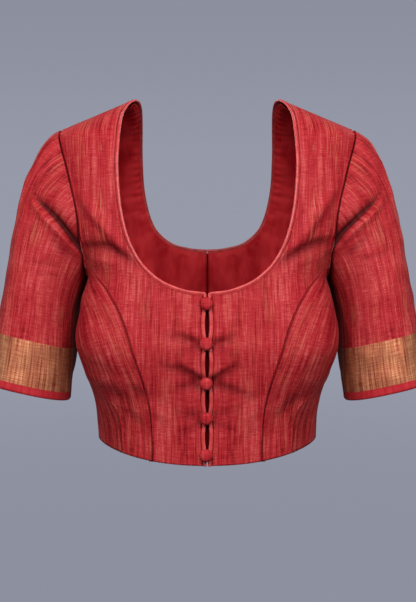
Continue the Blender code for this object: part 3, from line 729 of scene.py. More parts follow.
# %% Silk, border, satin, cord and button finishes
SILK_DEEP, SILK_MIDDLE, SILK_BRIGHT = (0.24, 0.004, 0.010), (0.47, 0.022, 0.030), (0.68, 0.108, 0.104)
GOLD_THREAD = (0.68, 0.215, 0.120)
STRIP_RED = (0.56, 0.020, 0.034)
SATIN_DEEP, SATIN_BRIGHT = (0.30, 0.006, 0.010), (0.46, 0.020, 0.026)
CORD_DEEP, CORD_BRIGHT = (0.56, 0.036, 0.042), (0.78, 0.100, 0.100)
BORDER_LOW, BORDER_HIGH, BORDER_SOFT = 0.0091, 0.0575, 0.0003
BORDER_DEEP, BORDER_MIDDLE = (0.28, 0.044, 0.029), (0.57, 0.190, 0.095)
BORDER_BRIGHT = (0.88, 0.430, 0.215)
SHEEN_TINT = (1.0, 0.62, 0.58, 1.0)
# The colour that full painted shade multiplies the cloth's colour by
PAINTED_SHADE_TINT = (0.10, 0.02, 0.04)
CHEST_FROM, CHEST_TO = 0.17, 0.27


def paint(colour, share=1.0):
    return (colour[0] * share, colour[1] * share, colour[2] * share, 1.0)


def new_finish(name, sheen, specular=0.12):
    """A material with its shader, and the piece's own cloth map."""
    made = bpy.data.materials.new(name)
    made.use_nodes = True
    tree = made.node_tree
    shader = tree.nodes["Principled BSDF"]
    shader.inputs["Sheen Weight"].default_value = sheen
    shader.inputs["Sheen Roughness"].default_value = 0.35
    shader.inputs["Sheen Tint"].default_value = SHEEN_TINT
    shader.inputs["Specular IOR Level"].default_value = specular
    cloth = add(tree, "UVMap", uv_map="cloth").outputs["UV"]
    return made, tree, shader, cloth


def bump(tree, shader, height, strength, distance):
    made = add(tree, "Bump", {"Height": height, "Strength": strength, "Distance": distance})
    tree.links.new(made.outputs["Normal"], shader.inputs["Normal"])


def silk_weave(tree, cloth, depth, gold_share, contrast):
    colours = {"Deep": SILK_DEEP, "Middle": SILK_MIDDLE, "Bright": SILK_BRIGHT, "Gold": GOLD_THREAD}
    inputs = {name: paint(colour, depth) for name, colour in colours.items()}
    inputs.update({"Cloth": cloth, "Gold Share": gold_share, "Contrast": contrast})
    return add(tree, "Group", inputs, node_tree=RAW_SILK).outputs


def with_painted_shade(tree, colour):
    """The colour, darkened where the piece's mask of painted shade asks for it."""
    mask = add(tree, "Attribute", attribute_name="painted_shade").outputs["Fac"]
    return blend(tree, mask, colour, paint(PAINTED_SHADE_TINT), "MULTIPLY")


def dress(tree, shader, colour, roughness, height, strength, distance):
    """Links a colour, darkened by the piece's painted shade, a roughness and a bump to the shader."""
    tree.links.new(with_painted_shade(tree, colour), shader.inputs["Base Color"])
    tree.links.new(roughness, shader.inputs["Roughness"])
    bump(tree, shader, height, strength, distance)


# %% Silk, plain and with a woven border
def silk_finish(name, depth, low_gold, high_gold, contrast):
    """Silk whose golden threads change from one share to another between the bust and the chest."""
    made, tree, shader, cloth = new_finish(name, 0.02)
    height = add(tree, "SeparateXYZ", {"Vector": cloth}).outputs["Y"]
    gold_share = between(tree, height, CHEST_FROM, CHEST_TO, low_gold, high_gold)
    weave = silk_weave(tree, cloth, depth, gold_share, contrast)
    dress(tree, shader, weave["Colour"], weave["Roughness"], weave["Height"], 0.20, 0.0004)
    return made


def sleeve_finish(name):
    """Silk with a woven metallic border between two heights above the hem."""
    made, tree, shader, cloth = new_finish(name, 0.02)
    weave = silk_weave(tree, cloth, 1.0, 0.34, 1.1)
    from_hem = add(tree, "SeparateXYZ", {"Vector": cloth}).outputs["Y"]
    above = between(tree, from_hem, BORDER_LOW - BORDER_SOFT, BORDER_LOW + BORDER_SOFT)
    below = between(tree, from_hem, BORDER_HIGH + BORDER_SOFT, BORDER_HIGH - BORDER_SOFT)
    border = calc(tree, "MULTIPLY", above, below)
    threads = streaks(tree, cloth, 0.0013, 0.050, shift=3.0)
    bands = streaks(tree, cloth, 0.0060, 0.120, shift=9.0, detail=2.0)
    weft = streaks(tree, cloth, 0.020, 0.0011, shift=13.0)
    tone = weighed(tree, (threads, 0.45), (bands, 0.28), (weft, 0.27))
    gold = blend(tree, between(tree, tone, 0.36, 0.52), paint(BORDER_DEEP), paint(BORDER_MIDDLE))
    gold = blend(tree, between(tree, tone, 0.52, 0.64), gold, paint(BORDER_BRIGHT))
    strip = between(tree, from_hem, BORDER_LOW + BORDER_SOFT, BORDER_LOW - BORDER_SOFT, 0.0, 0.6)
    plain = blend(tree, strip, weave["Colour"], paint(STRIP_RED))
    tree.links.new(calc(tree, "MULTIPLY", border, 0.45), shader.inputs["Metallic"])
    rough = calc(tree, "SUBTRACT", weave["Roughness"], calc(tree, "MULTIPLY", border, 0.10))
    height = weighed(tree, (weave["Height"], 1.0), (border, 0.5))
    dress(tree, shader, blend(tree, border, plain, gold), rough, height, 0.20, 0.0004)
    return made


# %% Satin, cord and thread
def satin_finish(name):
    made, tree, shader, cloth = new_finish(name, 0.0, 0.05)
    fine = streaks(tree, cloth, 0.0009, 0.012, detail=2.0)
    clouds = streaks(tree, cloth, 0.030, 0.050, shift=7.0, detail=2.0)
    tone = weighed(tree, (fine, 0.2), (clouds, 0.8))
    colour = blend(tree, between(tree, tone, 0.35, 0.65), paint(SATIN_DEEP), paint(SATIN_BRIGHT))
    dress(tree, shader, colour, between(tree, fine, 0.3, 0.7, 0.56, 0.48), fine, 0.04, 0.0002)
    return made


def cord_finish(name):
    """Bias-cut silk wound over a cord, so its threads run slantwise."""
    made, tree, shader, cloth = new_finish(name, 0.06, 0.5)
    parts = add(tree, "SeparateXYZ", {"Vector": cloth}).outputs
    slant = add(tree, "CombineXYZ", {"X": calc(tree, "ADD", parts["X"], parts["Y"]),
                                     "Y": calc(tree, "SUBTRACT", parts["Y"], parts["X"])}).outputs[0]
    threads = streaks(tree, slant, 0.0007, 0.006)
    clouds = streaks(tree, slant, 0.012, 0.012, shift=3.0, detail=1.0)
    tone = weighed(tree, (threads, 0.7), (clouds, 0.3))
    colour = blend(tree, between(tree, tone, 0.35, 0.65), paint(CORD_DEEP), paint(CORD_BRIGHT))
    dress(tree, shader, colour, between(tree, threads, 0.3, 0.7, 0.46, 0.36), threads, 0.25, 0.0003)
    return made


def thread_finish(name, colour):
    """Sewing thread: two plies wound together, its colour lighter and darker in small patches at random."""
    made, tree, shader, _ = new_finish(name, 0.2)
    place = add(tree, "TexCoord").outputs["Object"]
    noise = add(tree, "TexNoise", {"Vector": place, "Scale": 1800.0, "Detail": 2.0}).outputs["Fac"]
    shade = blend(tree, between(tree, noise, 0.35, 0.65), paint(colour, 0.6), paint(colour, 1.1))
    tree.links.new(shade, shader.inputs["Base Color"])
    shader.inputs["Roughness"].default_value = 0.5
    bump(tree, shader, noise, 0.3, 0.0002)
    return made


front_silk = silk_finish("raw_silk_front", 1.0, 0.22, 0.60, 1.05)
side_silk = silk_finish("raw_silk_side", 1.0, 0.28, 0.28, 1.2)
back_silk = silk_finish("raw_silk_back", 0.96, 0.30, 0.60, 1.1)
sleeve_silk = sleeve_finish("raw_silk_sleeve")
button_silk = silk_finish("raw_silk_button", 1.06, 0.0, 0.0, 0.8)
lining_satin = satin_finish("lining_satin")
cord_silk = cord_finish("cord_silk")
sewing_thread = thread_finish("sewing_thread", (0.42, 0.030, 0.036))
print("Nodes in the border's finish:", len(sleeve_silk.node_tree.nodes))

# %% [markdown]
# Cloth panels
#
# A panel of cloth is thin, so both of its faces and its turned edges are made. A grid stands for the
# flat cloth, its copy pushed down one unit stands for the inside, and the rim joins the two. Then
# every vertex is carried onto the form. Near a seam the cloth rolls over and dives into the ditch.

# %% Sizes of the worn cloth
SILK_THICK = 0.0012
EDGE_STEPS = 40
SETTLE, PANEL_UNEVEN = 0.012, 0.00045
HEM_FOLD, HEM_DEEP = 0.0005, 0.016
# Each roll has its rise beside the seam and its dive into the ditch.
PANEL_ROLL, SHOULDER_ROLL = (0.00045, 0.0012), (0.0002, 0.0006)
ROLL_AT, ROLL_WIDE, DITCH_WIDE = 0.0021, 0.0011, 0.0009
# Each painted shade has its strength and its reach from the edge or place that it surrounds.
DITCH_SHADE, UNDERARM_SHADE, SIDE_SHADE = (0.8, 0.0010), (0.7, 0.018), (0.24, 0.026)
UNDERARM_EDGE = 0.0035
# Painted shade in sunk folds: strength, the depth at which it is full, and the share of a fold's width
FOLD_SHADE, FOLD_FULL_DEPTH, FOLD_SPREAD = 0.56, 0.0032, 0.95
UNDERARM_PLACE = torso(*armhole(radians(150)))
# Where the weave's map starts, so that no two panels show the same marks
BACK_START, SIDE_START = 0.5, 0.2


# %% A flat double grid, and how a piece is finished
def doubled_grid(columns, rows):
    """A unit grid with an inner copy below it, joined round the rim. The inner faces use slot 1."""
    work = bmesh.new()
    bmesh.ops.create_grid(work, x_segments=columns, y_segments=rows, size=0.5)
    add_inner_skin(work, Vector((0, 0, -1)))
    return work


def add_inner_skin(work, move):
    grown = bmesh.ops.extrude_face_region(work, geom=work.faces[:], use_keep_orig=True)
    inner = [item for item in grown["geom"] if isinstance(item, bmesh.types.BMVert)]
    for face in (item for item in grown["geom"] if isinstance(item, bmesh.types.BMFace)):
        face.material_index = 1
    bmesh.ops.translate(work, vec=move, verts=inner)


def coordinates(work):
    return np.array([vert.co for vert in work.verts])


def finish_piece(name, work, places, grain, side, materials, nodes, round_grain=None, painted_shade=None):
    """Carries the vertices to their places, mirrors for the wearer's right, and dresses the nodes."""
    places = places * np.array((side, 1, 1))
    for vert, place in zip(work.verts, places):
        vert.co = place
    bmesh.ops.recalc_face_normals(work, faces=work.faces)
    for face in work.faces:
        face.smooth = True
    mesh = bpy.data.meshes.new(name)
    work.to_mesh(mesh)
    work.free()
    corner_vertex = np.empty(len(mesh.loops), int)
    mesh.loops.foreach_get("vertex_index", corner_vertex)
    corners = grain[corner_vertex]
    if round_grain:
        starts, totals = np.empty(len(mesh.polygons), int), np.empty(len(mesh.polygons), int)
        mesh.polygons.foreach_get("loop_start", starts)
        mesh.polygons.foreach_get("loop_total", totals)
        face_of = np.repeat(np.arange(len(starts)), totals)
        highest = np.full(len(starts), -1e9)
        np.maximum.at(highest, face_of, corners[:, 0])
        corners[highest[face_of] - corners[:, 0] > round_grain / 2, 0] += round_grain
    mesh.uv_layers.new(name="cloth").data.foreach_set("uv", corners.astype(np.float32).ravel())
    # A mask of painted shade, by which the finishes darken the colour
    if painted_shade is not None:
        mask = mesh.attributes.new("painted_shade", "FLOAT", "POINT")
        mask.data.foreach_set("value", np.clip(painted_shade, 0, 1).astype(np.float32))
    for material in materials:
        mesh.materials.append(material)
    piece = bpy.data.objects.new(name, mesh)
    bpy.context.scene.collection.objects.link(piece)
    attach(piece, "root")
    if nodes:
        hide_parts(*nodes)
    return piece


# %% A panel of the bodice
def edge_roll(distance, rise, ditch):
    """The cloth's roll beside a seam, and its dive into the ditch."""
    roll = rise * bell(distance - ROLL_AT, ROLL_WIDE)
    return roll - ditch * bell(distance, DITCH_WIDE)


def edge_distances(shape, u, v):
    """Distances over the cloth from the inner edge, the outer edge, the foot and the top."""
    stops = np.linspace(0, 1, EDGE_STEPS + 1)
    u_grid, v_grid = np.meshgrid(stops, stops, indexing="ij")
    places = torso(*shape(u_grid.ravel(), v_grid.ravel())).reshape(*u_grid.shape, 3)
    across, upward = run_up(places, 0), run_up(places, 1)
    row, column = u * EDGE_STEPS, v * EDGE_STEPS
    return (read_chart(across, row, column), read_chart(across[-1:] - across, row, column),
            read_chart(upward, row, column), read_chart(upward[:, -1:] - upward, row, column))


def bodice_piece(name, shape, columns, rows, trim, side, creases, materials, nodes,
                 lift, thick, grain_of, seed):
    """A panel on the bodice's form; lift gives each place's rise and painted shade from its edge distances.
    """
    inner_trim, outer_trim, end_trim = trim
    work = doubled_grid(columns, rows)
    flat = coordinates(work)
    u = inner_trim + (1 - inner_trim - outer_trim) * (flat[:, 0] + 0.5)
    v = end_trim + (1 - 2 * end_trim) * (flat[:, 1] + 0.5)
    inside = flat[:, 2] < -0.5
    turn, height = shape(u, v)
    form = torso(turn, height)
    distances = edge_distances(shape, u, v)
    grain = grain_of(turn, height, distances)
    away = np.minimum.reduce(distances)
    settle = 1 - bell(away, SETTLE)
    rise, painted_shade = lift(u, v, distances, form)
    folds = np.abs(np.cos(turn)) ** FACING_FADE * crease_lift(creases, form[:, 0], form[:, 2])
    shade = crease_shade(creases, form[:, 0], form[:, 2], FOLD_FULL_DEPTH, FOLD_SPREAD)
    raised = rise + settle * uneven(grain, PANEL_UNEVEN, seed) + folds
    turned_hem = HEM_FOLD * (distances[2] < HEM_DEEP)
    raised = raised - inside * (thick + turned_hem)
    places = form + torso_normal(turn, height) * raised[:, None]
    # Painted shade from the lift and in sunk folds, on the outer face only
    return finish_piece(name, work, places, grain, side, materials, nodes,
                        painted_shade=np.where(inside, 0.0, painted_shade + FOLD_SHADE * shade))


def outer_lift(u, v, distances, form):
    """The outer silk rolls into its seams, with painted shade in their ditches, most of all under the arm.
    """
    inner, outer, _, top = distances
    rise = edge_roll(inner, *PANEL_ROLL) + edge_roll(outer, *PANEL_ROLL) + edge_roll(top, *SHOULDER_ROLL)
    from_underarm = np.linalg.norm(form - UNDERARM_PLACE, axis=-1)
    ditch = DITCH_SHADE[0] * bell(np.minimum.reduce((inner, outer, top)), DITCH_SHADE[1])
    under = UNDERARM_SHADE[0] * bell(from_underarm, UNDERARM_SHADE[1]) * bell(outer, UNDERARM_EDGE)
    return rise, ditch + under


def back_lift(u, v, distances, form):
    """The back panel turns away beside the side seam, where the arm keeps the light off it, so painted
    shade darkens it there.
    """
    rise, painted_shade = outer_lift(u, v, distances, form)
    return rise, painted_shade + SIDE_SHADE[0] * bell(distances[1], SIDE_SHADE[1])


def plain_grain(turn, height, distances):
    return body_grain(turn, height)


def back_grain(turn, height, distances):
    """The back's warp runs straight beside the centre back seam, so it is measured from there."""
    centre_back = np.full(turn.shape, pi)
    from_centre = read_body(ROUND_BODY, centre_back, height) - read_body(ROUND_BODY, turn, height)
    return np.stack((BACK_START + from_centre, read_body(UP_BODY, centre_back, height)), axis=-1)


def side_grain(turn, height, distances):
    """The side front's warp follows the princess seam, as the panel is cut along it."""
    return np.stack((SIDE_START + distances[0], distances[2]), axis=-1)


# %% Centre fronts, side fronts and backs
SIDES = (("left", 1), ("right", -1))
# Shares of a panel left off at its inner edge, its outer edge, and its foot and top
OUTER_TRIM, SIDE_TRIM, LINING_TRIM = (0.0015, 0.003, 0.001), (0.003, 0.008, 0.002), (0.002, 0.010, 0.004)
# Columns: key, node, patch, columns, rows, trim, creases, silk, inner face, lift, grain, seed
PANELS = (
    ("front", "front_centre", FRONT_CENTRE, 76, 236, OUTER_TRIM, FRONT_CREASES,
     front_silk, lining_satin, outer_lift, plain_grain, 11),
    ("side", "front_side", FRONT_SIDE, 50, 120, SIDE_TRIM, FRONT_CREASES,
     side_silk, lining_satin, outer_lift, side_grain, 21),
    ("back", "back", BACK, 76, 190, OUTER_TRIM, BACK_CREASES,
     back_silk, back_silk, back_lift, back_grain, 31),
)
for suffix, side in SIDES:
    for key, node, shape, columns, rows, trim, creases, silk, inner, lift, grain_of, seed in PANELS:
        bodice_piece(
            f"{node}_silk_{suffix}", shape, columns, rows, trim, side, creases[suffix], (silk, inner),
            [f"{node}_{suffix}"], lift, SILK_THICK, grain_of, seed + side)

# %% [markdown]
# The back's lining
#
# The satin inside the back is eased onto the corded neck edge, so it puckers: short pleats at right
# angles to the cord, some of which run on as long soft folds. They could be simulated, but their
# spacing is what one sees, so waves along the neckline are given and fade away from it.

# %% Puckered satin inside the back
PUCKER_SPACING, PUCKER_DEPTH, PUCKER_REACH = 0.0094, 0.0028, 0.0082
FOLD_SPACING, FOLD_DEPTH, FOLD_REACH = 0.0165, 0.0036, 0.034
SATIN_SWELL, SWELL_HELD = 0.0044, 0.25
LINING_DEPTH = CLOTH + 2 * SEAM_GAP
UNDERSTITCH_AT, UNDERSTITCH_WIDE, UNDERSTITCH_DEPTH = 0.0032, 0.0009, 0.0006
EDGE_EASE = 0.0035
LOW_NECK_TO, LOW_NECK_SOFT = 0.115, 0.010
# Painted shade in long folds, in pleats at the cord, further in, up the neck, and right beside the cord
LONG_SHADE, TICK_SHADE, INWARD_SHADE, HIGH_NECK_SHADE, BESIDE_CORD_SHADE = 0.85, 0.75, 0.50, 0.22, 0.75
back_neck_places = torso(BACK_NECKLINE.turns, BACK_NECKLINE.heights)


def from_back_neck(places):
    """Distance from the back neckline, and how far along it, from the centre back."""
    offset = places[:, None, :] - back_neck_places
    closest = (offset ** 2).sum(-1).argmin(1)
    heading = unit(np.gradient(back_neck_places, axis=0))[closest]
    offset = offset[np.arange(len(places)), closest]
    ahead = (offset * heading).sum(-1)
    aside = np.linalg.norm(offset - heading * ahead[:, None], axis=-1)
    return aside, np.maximum(BACK_NECKLINE.reach[closest] + ahead, 0)


def narrow_hollows(along, spacing):
    """0 on broad swells and 1 in the narrow hollows between them, at uneven spacing."""
    drift = 0.28 * np.sin(along / 0.031 + 0.7) + 0.20 * np.sin(along / 0.0127 + 2.0)
    return 1 - np.abs(np.sin(pi * (along / spacing + drift))) ** 0.8


def satin_lift(u, v, distances, form):
    """The lining lies inside the back silk, and each swell stands further in."""
    aside, along = from_back_neck(form)
    strength = 0.75 + 0.25 * np.sin(along / 0.019 + 1.3)
    short = PUCKER_DEPTH * narrow_hollows(along, PUCKER_SPACING) * np.exp(-(aside / PUCKER_REACH) ** 1.5)
    low_neck = 1 / (1 + np.exp((along - LOW_NECK_TO) / LOW_NECK_SOFT))
    reach = FOLD_REACH * (0.75 + 0.45 * np.sin(along / 0.0171 + 0.4))
    rising = 1 - bell(aside, 0.006)
    long = FOLD_DEPTH * narrow_hollows(along + 0.004, FOLD_SPACING) * bell(aside, reach)
    stitched = UNDERSTITCH_DEPTH * bell(aside - UNDERSTITCH_AT, UNDERSTITCH_WIDE)
    edge = bell(distances[0], 0.0011) * (v < BACK_LOWER_SHARE)
    swell = SATIN_SWELL - strength * (short + low_neck * rising * long) - stitched
    swell = swell * (1 - (1 - SWELL_HELD) * bell(aside + 0.0004, EDGE_EASE))
    # Painted shade: in folds and pleats, further from the neck, up the neck, beside the cord and at the
    # centre back edge
    fold = narrow_hollows(along + 0.004, FOLD_SPACING) ** 1.2 * bell(aside, 0.055)
    tick = narrow_hollows(along, PUCKER_SPACING) ** 1.6 * bell(aside, 0.0058)
    inward = np.clip((aside - 0.012) / 0.035, 0, 1)
    painted_shade = (LONG_SHADE * strength * fold * (0.35 + 0.65 * low_neck) + TICK_SHADE * tick
              + INWARD_SHADE * inward + HIGH_NECK_SHADE * (1 - low_neck)
              + BESIDE_CORD_SHADE * bell(aside, 0.0022) + edge)
    return -LINING_DEPTH - np.maximum(swell, 0.0) * (1 - edge), painted_shade


for suffix, side in SIDES:
    bodice_piece(
        "back_satin_" + suffix, BACK, 100, 210, LINING_TRIM, side, (), (lining_satin, lining_satin),
        ["back_lining_" + suffix], satin_lift, LINING, back_grain, 41 + side)
print("Lining pleats down one side:", round(BACK_NECKLINE.length / PUCKER_SPACING))

# %% [markdown]
# Sleeves
#
# The sleeve is a tube with its seam under the arm, a head that rolls over the armhole seam, and a
# turned hem. A tube could come from a cylinder, but then its seam would be lost: here a grid is rolled
# up and joined along one line, so that the weave is cut just where the real seam is.

# %% Sleeves with their deep front fold
FRONT_CLOSER, TOP_CLOSER = 0.40, 0.35
SLEEVE_SIDES, SLEEVE_ROWS = 196, 168
SLEEVE_SETTLE, SLEEVE_UNEVEN = 0.014, 0.0007
UNDERARM_FULL, UNDERARM_FULL_AT, UNDERARM_FULL_WIDE, UNDERARM_FULL_TO = 0.0045, radians(200), 0.45, 0.8
HEAD_ROLL, CUFF_ROLL = (0.0005, 0.0006), (0.0002, 0.0003)
SLEEVE_SEAM_DEPTH, SLEEVE_SEAM_WIDE = 0.0006, 0.0010
SLEEVE_HEM_DEEP = 0.018
# Painted shade in the sleeve's sunk folds: strength, the depth at which it is full, and the share of a
# fold's width
SLEEVE_FOLD_SHADE, SLEEVE_FULL_DEPTH, SLEEVE_FOLD_SPREAD = 0.95, 0.0044, 0.58
# The painted shade below the head reaches further under the arm.
HEAD_SHADE, HEAD_REACH, HEAD_REACH_UNDERARM = 0.9, 0.0010, 0.006
# Painted shade on the inner side of the arm, and where round the sleeve it starts
INNER_SHADE, INNER_FROM = 0.42, 0.12
# Soft bands of painted shade down the outer side: angle, half width, strength
OUTER_SHADE_BANDS = ((0.42, 0.10, 0.24), (0.72, 0.07, 0.20), (0.98, 0.05, 0.10))
BANDS_FROM, BANDS_GROW, BANDS_END = 0.30, 0.15, 0.05


def unit_tube(sides, rows):
    """An open tube about Z, one across its radius and one long, closed along one line."""
    work = bmesh.new()
    bmesh.ops.create_grid(work, x_segments=sides, y_segments=rows, size=0.5)
    for vert in work.verts:
        angle = 2 * pi * (vert.co.x + 0.5)
        vert.co = Vector((-cos(angle), -sin(angle), vert.co.y + 0.5))
    bmesh.ops.remove_doubles(work, verts=work.verts, dist=0.00002)
    return work


def sleeve_piece(suffix, side):
    work = unit_tube(SLEEVE_SIDES, SLEEVE_ROWS)
    add_inner_skin(work, Vector((0, 0, 2)))
    flat = coordinates(work)
    inside = flat[:, 2] > 1.5
    down = np.where(inside, flat[:, 2] - 2, flat[:, 2])
    angle = np.arctan2(flat[:, 1], flat[:, 0])
    angle = np.where(angle > pi - 1e-4, -pi, angle)
    angle = angle + FRONT_CLOSER * (1 + np.cos(angle))
    down = down - TOP_CLOSER * np.sin(pi * down) / pi
    form = sleeve(angle, down)
    from_hem, from_head = (read_sleeve(chart, angle, down) for chart in (SLEEVE_FROM_HEM, SLEEVE_RUN))
    grain = np.stack((angle * SLEEVE_GIRTH, from_hem), axis=-1)
    in_front = np.sin(angle) > 0
    fade = np.abs(np.sin(angle)) ** 0.5
    tables = (SLEEVE_CREASES[suffix], SLEEVE_BACK_CREASES)
    front, back = (crease_lift(creases, form[:, 0], form[:, 2]) for creases in tables)
    settle = 1 - bell(np.minimum(from_hem, from_head), SLEEVE_SETTLE)
    raised = fade * np.where(in_front, front, back) + settle * uneven(grain, SLEEVE_UNEVEN, 51 + side)
    past_underarm = np.abs(angle % (2 * pi) - UNDERARM_FULL_AT)
    full = np.sin(pi * np.clip(down / UNDERARM_FULL_TO, 0, 1)) ** 0.7
    raised += UNDERARM_FULL * bell(past_underarm, UNDERARM_FULL_WIDE) * full
    raised += edge_roll(from_head, *HEAD_ROLL) + edge_roll(from_hem, *CUFF_ROLL)
    raised -= SLEEVE_SEAM_DEPTH * bell((pi - np.abs(angle)) * SLEEVE_GIRTH, SLEEVE_SEAM_WIDE)
    raised -= inside * (SILK_THICK + HEM_FOLD * (from_hem < SLEEVE_HEM_DEEP))
    front_shade, back_shade = (
        crease_shade(creases, form[:, 0], form[:, 2], SLEEVE_FULL_DEPTH, SLEEVE_FOLD_SPREAD)
        for creases in tables)
    # Painted shade: in sunk folds, below the head, inside the arm and in bands down the outer side
    painted_shade = SLEEVE_FOLD_SHADE * fade * np.where(in_front, front_shade, back_shade)
    underarm_share = np.clip(-np.cos(angle), 0, 1) ** 1.5
    painted_shade += HEAD_SHADE * bell(from_head, HEAD_REACH + HEAD_REACH_UNDERARM * underarm_share)
    painted_shade += INNER_SHADE * np.clip(INNER_FROM - np.cos(angle), 0, 1)
    lengthwise = np.clip((down - BANDS_FROM) / BANDS_GROW, 0, 1) * np.clip(from_hem / BANDS_END, 0, 1)
    for at, wide, share in OUTER_SHADE_BANDS:
        painted_shade += share * lengthwise * bell(np.abs(angle) - at, wide)
    places = form + sleeve_normal(angle, down) * raised[:, None]
    return finish_piece("sleeve_silk_" + suffix, work, places, grain, side, (sleeve_silk, sleeve_silk),
                        ["sleeve_" + suffix], round_grain=2 * pi * SLEEVE_GIRTH,
                        painted_shade=np.where(inside, 0.0, painted_shade))


for suffix, side in SIDES:
    sleeve_piece(suffix, side)

# %% [markdown]
# Corded edges
#
# The neck and both front edges are finished with a cord covered in bias-cut silk, which is one piece
# from the hem, round a square corner at the neck, to the centre back. A curve with a bevel would make
# it too, but its turns could not carry the slant of the cover. A rolled grid is led along the route.

# %% The cord's route and its tube
CORD_STATION, CORD_SIDES, CORD_TONGUE, TONGUE_SUNK = 0.0011, 16, 0.0015, 0.0007
TONGUE_FROM, CORNER_REACH = 0.35, 0.005
# Painted shade on the cord where it runs behind, full this far behind the middle of the body
CORD_SHADE, SHADE_BEHIND = 0.40, 0.04


def cord_route(creases):
    """Middles of the cord and the form's normals there, evenly spaced, its corner just rounded."""
    neck_turns = np.concatenate((FRONT_NECKLINE.turns, BACK_NECKLINE.turns[::-1][1:]))
    neck_heights = np.concatenate((FRONT_NECKLINE.heights, BACK_NECKLINE.heights[::-1][1:]))
    runs = []
    for turns, heights in ((FRONT_EDGE.turns, FRONT_EDGE.heights), (neck_turns, neck_heights)):
        form, normals = torso(turns, heights), torso_normal(turns, heights)
        facing = np.clip(np.cos(turns), 0, None) ** FACING_FADE
        folds = facing * crease_lift(creases, form[:, 0], form[:, 2])
        middles = form + normals * (folds - CLOTH / 2)[:, None]
        aside = unit(np.cross(normals, np.gradient(middles, axis=0)))
        runs.append((middles + aside * (CORD_RADIUS + CORD_GAP), normals))
    (edge, edge_normals), (neck, neck_normals) = runs
    corner = np.array(((edge[-1, 0], neck[0, 1], neck[0, 2]),))
    middles = np.concatenate((edge[:-1], corner, neck[1:]))
    normals = np.concatenate((edge_normals, neck_normals[1:]))
    reach = run_up(middles, 0)
    stations = np.linspace(0, reach[-1], round(reach[-1] / CORD_STATION))
    middles = np.stack([np.interp(stations, reach, middles[:, axis]) for axis in range(3)], axis=-1)
    normals = unit(np.stack([np.interp(stations, reach, normals[:, axis]) for axis in range(3)], axis=-1))
    for _ in range(2):
        middles[1:-1] = (middles[:-2] + 2 * middles[1:-1] + middles[2:]) / 4
    return middles, normals, stations


def cord_tube(suffix, side):
    """One side's cord, with the narrow tongue of its cover that the seam takes in."""
    middles, normals, stations = cord_route(FRONT_CREASES[suffix])
    last = len(stations) - 1
    work = unit_tube(CORD_SIDES, last)
    bmesh.ops.holes_fill(work, edges=work.edges[:], sides=0)
    flat = coordinates(work)
    i = np.rint(flat[:, 2] * last).astype(int)
    heading = unit(np.gradient(middles, axis=0))
    aside = unit(np.cross(heading, normals))
    upright = unit(np.cross(aside, heading))
    drawn = np.clip((flat[:, 0] - TONGUE_FROM) / (1 - TONGUE_FROM), 0, 1)
    from_corner = np.abs(stations[i] - FRONT_EDGE.length)
    tongue = CORD_TONGUE * drawn * (0.3 + 0.7 * np.clip(from_corner / CORNER_REACH, 0, 1))
    across = flat[:, 0] * CORD_RADIUS + tongue
    upward = flat[:, 1] * CORD_RADIUS * (1 - 0.5 * drawn) - TONGUE_SUNK * drawn
    places = middles[i] + aside[i] * across[:, None] + upright[i] * upward[:, None]
    angle = np.arctan2(flat[:, 1], flat[:, 0])
    grain = np.stack((np.where(angle > pi - 1e-4, -pi, angle) * CORD_RADIUS, stations[i]), axis=-1)
    behind = np.clip(middles[i, 1] / SHADE_BEHIND, 0, 1)
    return finish_piece("edge_cord_silk_" + suffix, work, places, grain, side, (cord_silk,),
                        ["edge_cord_" + suffix], round_grain=2 * pi * CORD_RADIUS,
                        painted_shade=CORD_SHADE * behind)


for suffix, side in SIDES:
    cord_tube(suffix, side)
print("Cord stations:", len(cord_route(FRONT_CREASES["left"])[2]))

# %% [markdown]
# The underlap
#
# Corded edges that meet edge to edge would gape between the buttons, so a narrow strip is sewn behind
# one of them and lies behind the other. It could be part of a front panel, but it is cut on its own.
# Only its satin shows, darkened by painted shade, in the small bows between the buttons.

# %% A strip behind the front opening
# Half width, depth behind the form, how far short of the hem and neck, and the painted shade over all of it
UNDERLAP_HALF, UNDERLAP_DEPTH, UNDERLAP_SHORT, UNDERLAP_SHADE = 0.0070, 0.0052, 0.0035, 0.85
UNDERLAP_RISE, UNDERLAP_SEWN = 0.0018, 0.0020


def front_underlap():
    work = doubled_grid(8, 120)
    flat = coordinates(work)
    across = 2 * UNDERLAP_HALF * flat[:, 0]
    length = NECK_FRONT_Z - HEM_FRONT_Z - 2 * UNDERLAP_SHORT
    height = HEM_FRONT_Z + UNDERLAP_SHORT + length * (flat[:, 1] + 0.5)
    turn = np.sign(across) * turn_at(np.abs(across), height)
    sewn = bell(UNDERLAP_HALF - across, UNDERLAP_SEWN)
    sunk = UNDERLAP_DEPTH - UNDERLAP_RISE * sewn + LINING * (flat[:, 2] < -0.5)
    places = torso(turn, height) - torso_normal(turn, height) * sunk[:, None]
    return finish_piece("front_underlap_satin", work, places, np.stack((across, height), axis=-1), 1,
                        (lining_satin, lining_satin), [],
                        painted_shade=np.full(len(flat), UNDERLAP_SHADE))


front_underlap()
print("Underlap length:", round((NECK_FRONT_Z - HEM_FRONT_Z) * 1000), "mm")

# %% [markdown]
# Covered buttons
#
# A covered button is a metal dome with a disc of silk drawn over it and gathered underneath. A sphere
# would be too round, and would show no gathers. An outline is spun round, and the silk near the rim
# gets the small pleats that drawing it in leaves.

# %% Five domed buttons
BUTTON_WIDTH, BUTTON_HEIGHT, BUTTON_X = 0.0138, 0.0060, -0.0010
BUTTON_OUTLINE = (
    (0.00, 0.00), (0.84, 0.00), (1.00, 0.25), (0.96, 0.50), (0.76, 0.78), (0.44, 0.94), (0.00, 1.00),
)
GATHERS, GATHER_DEPTH, GATHER_AT, GATHER_WIDE = 15, 0.018, 0.18, 0.20


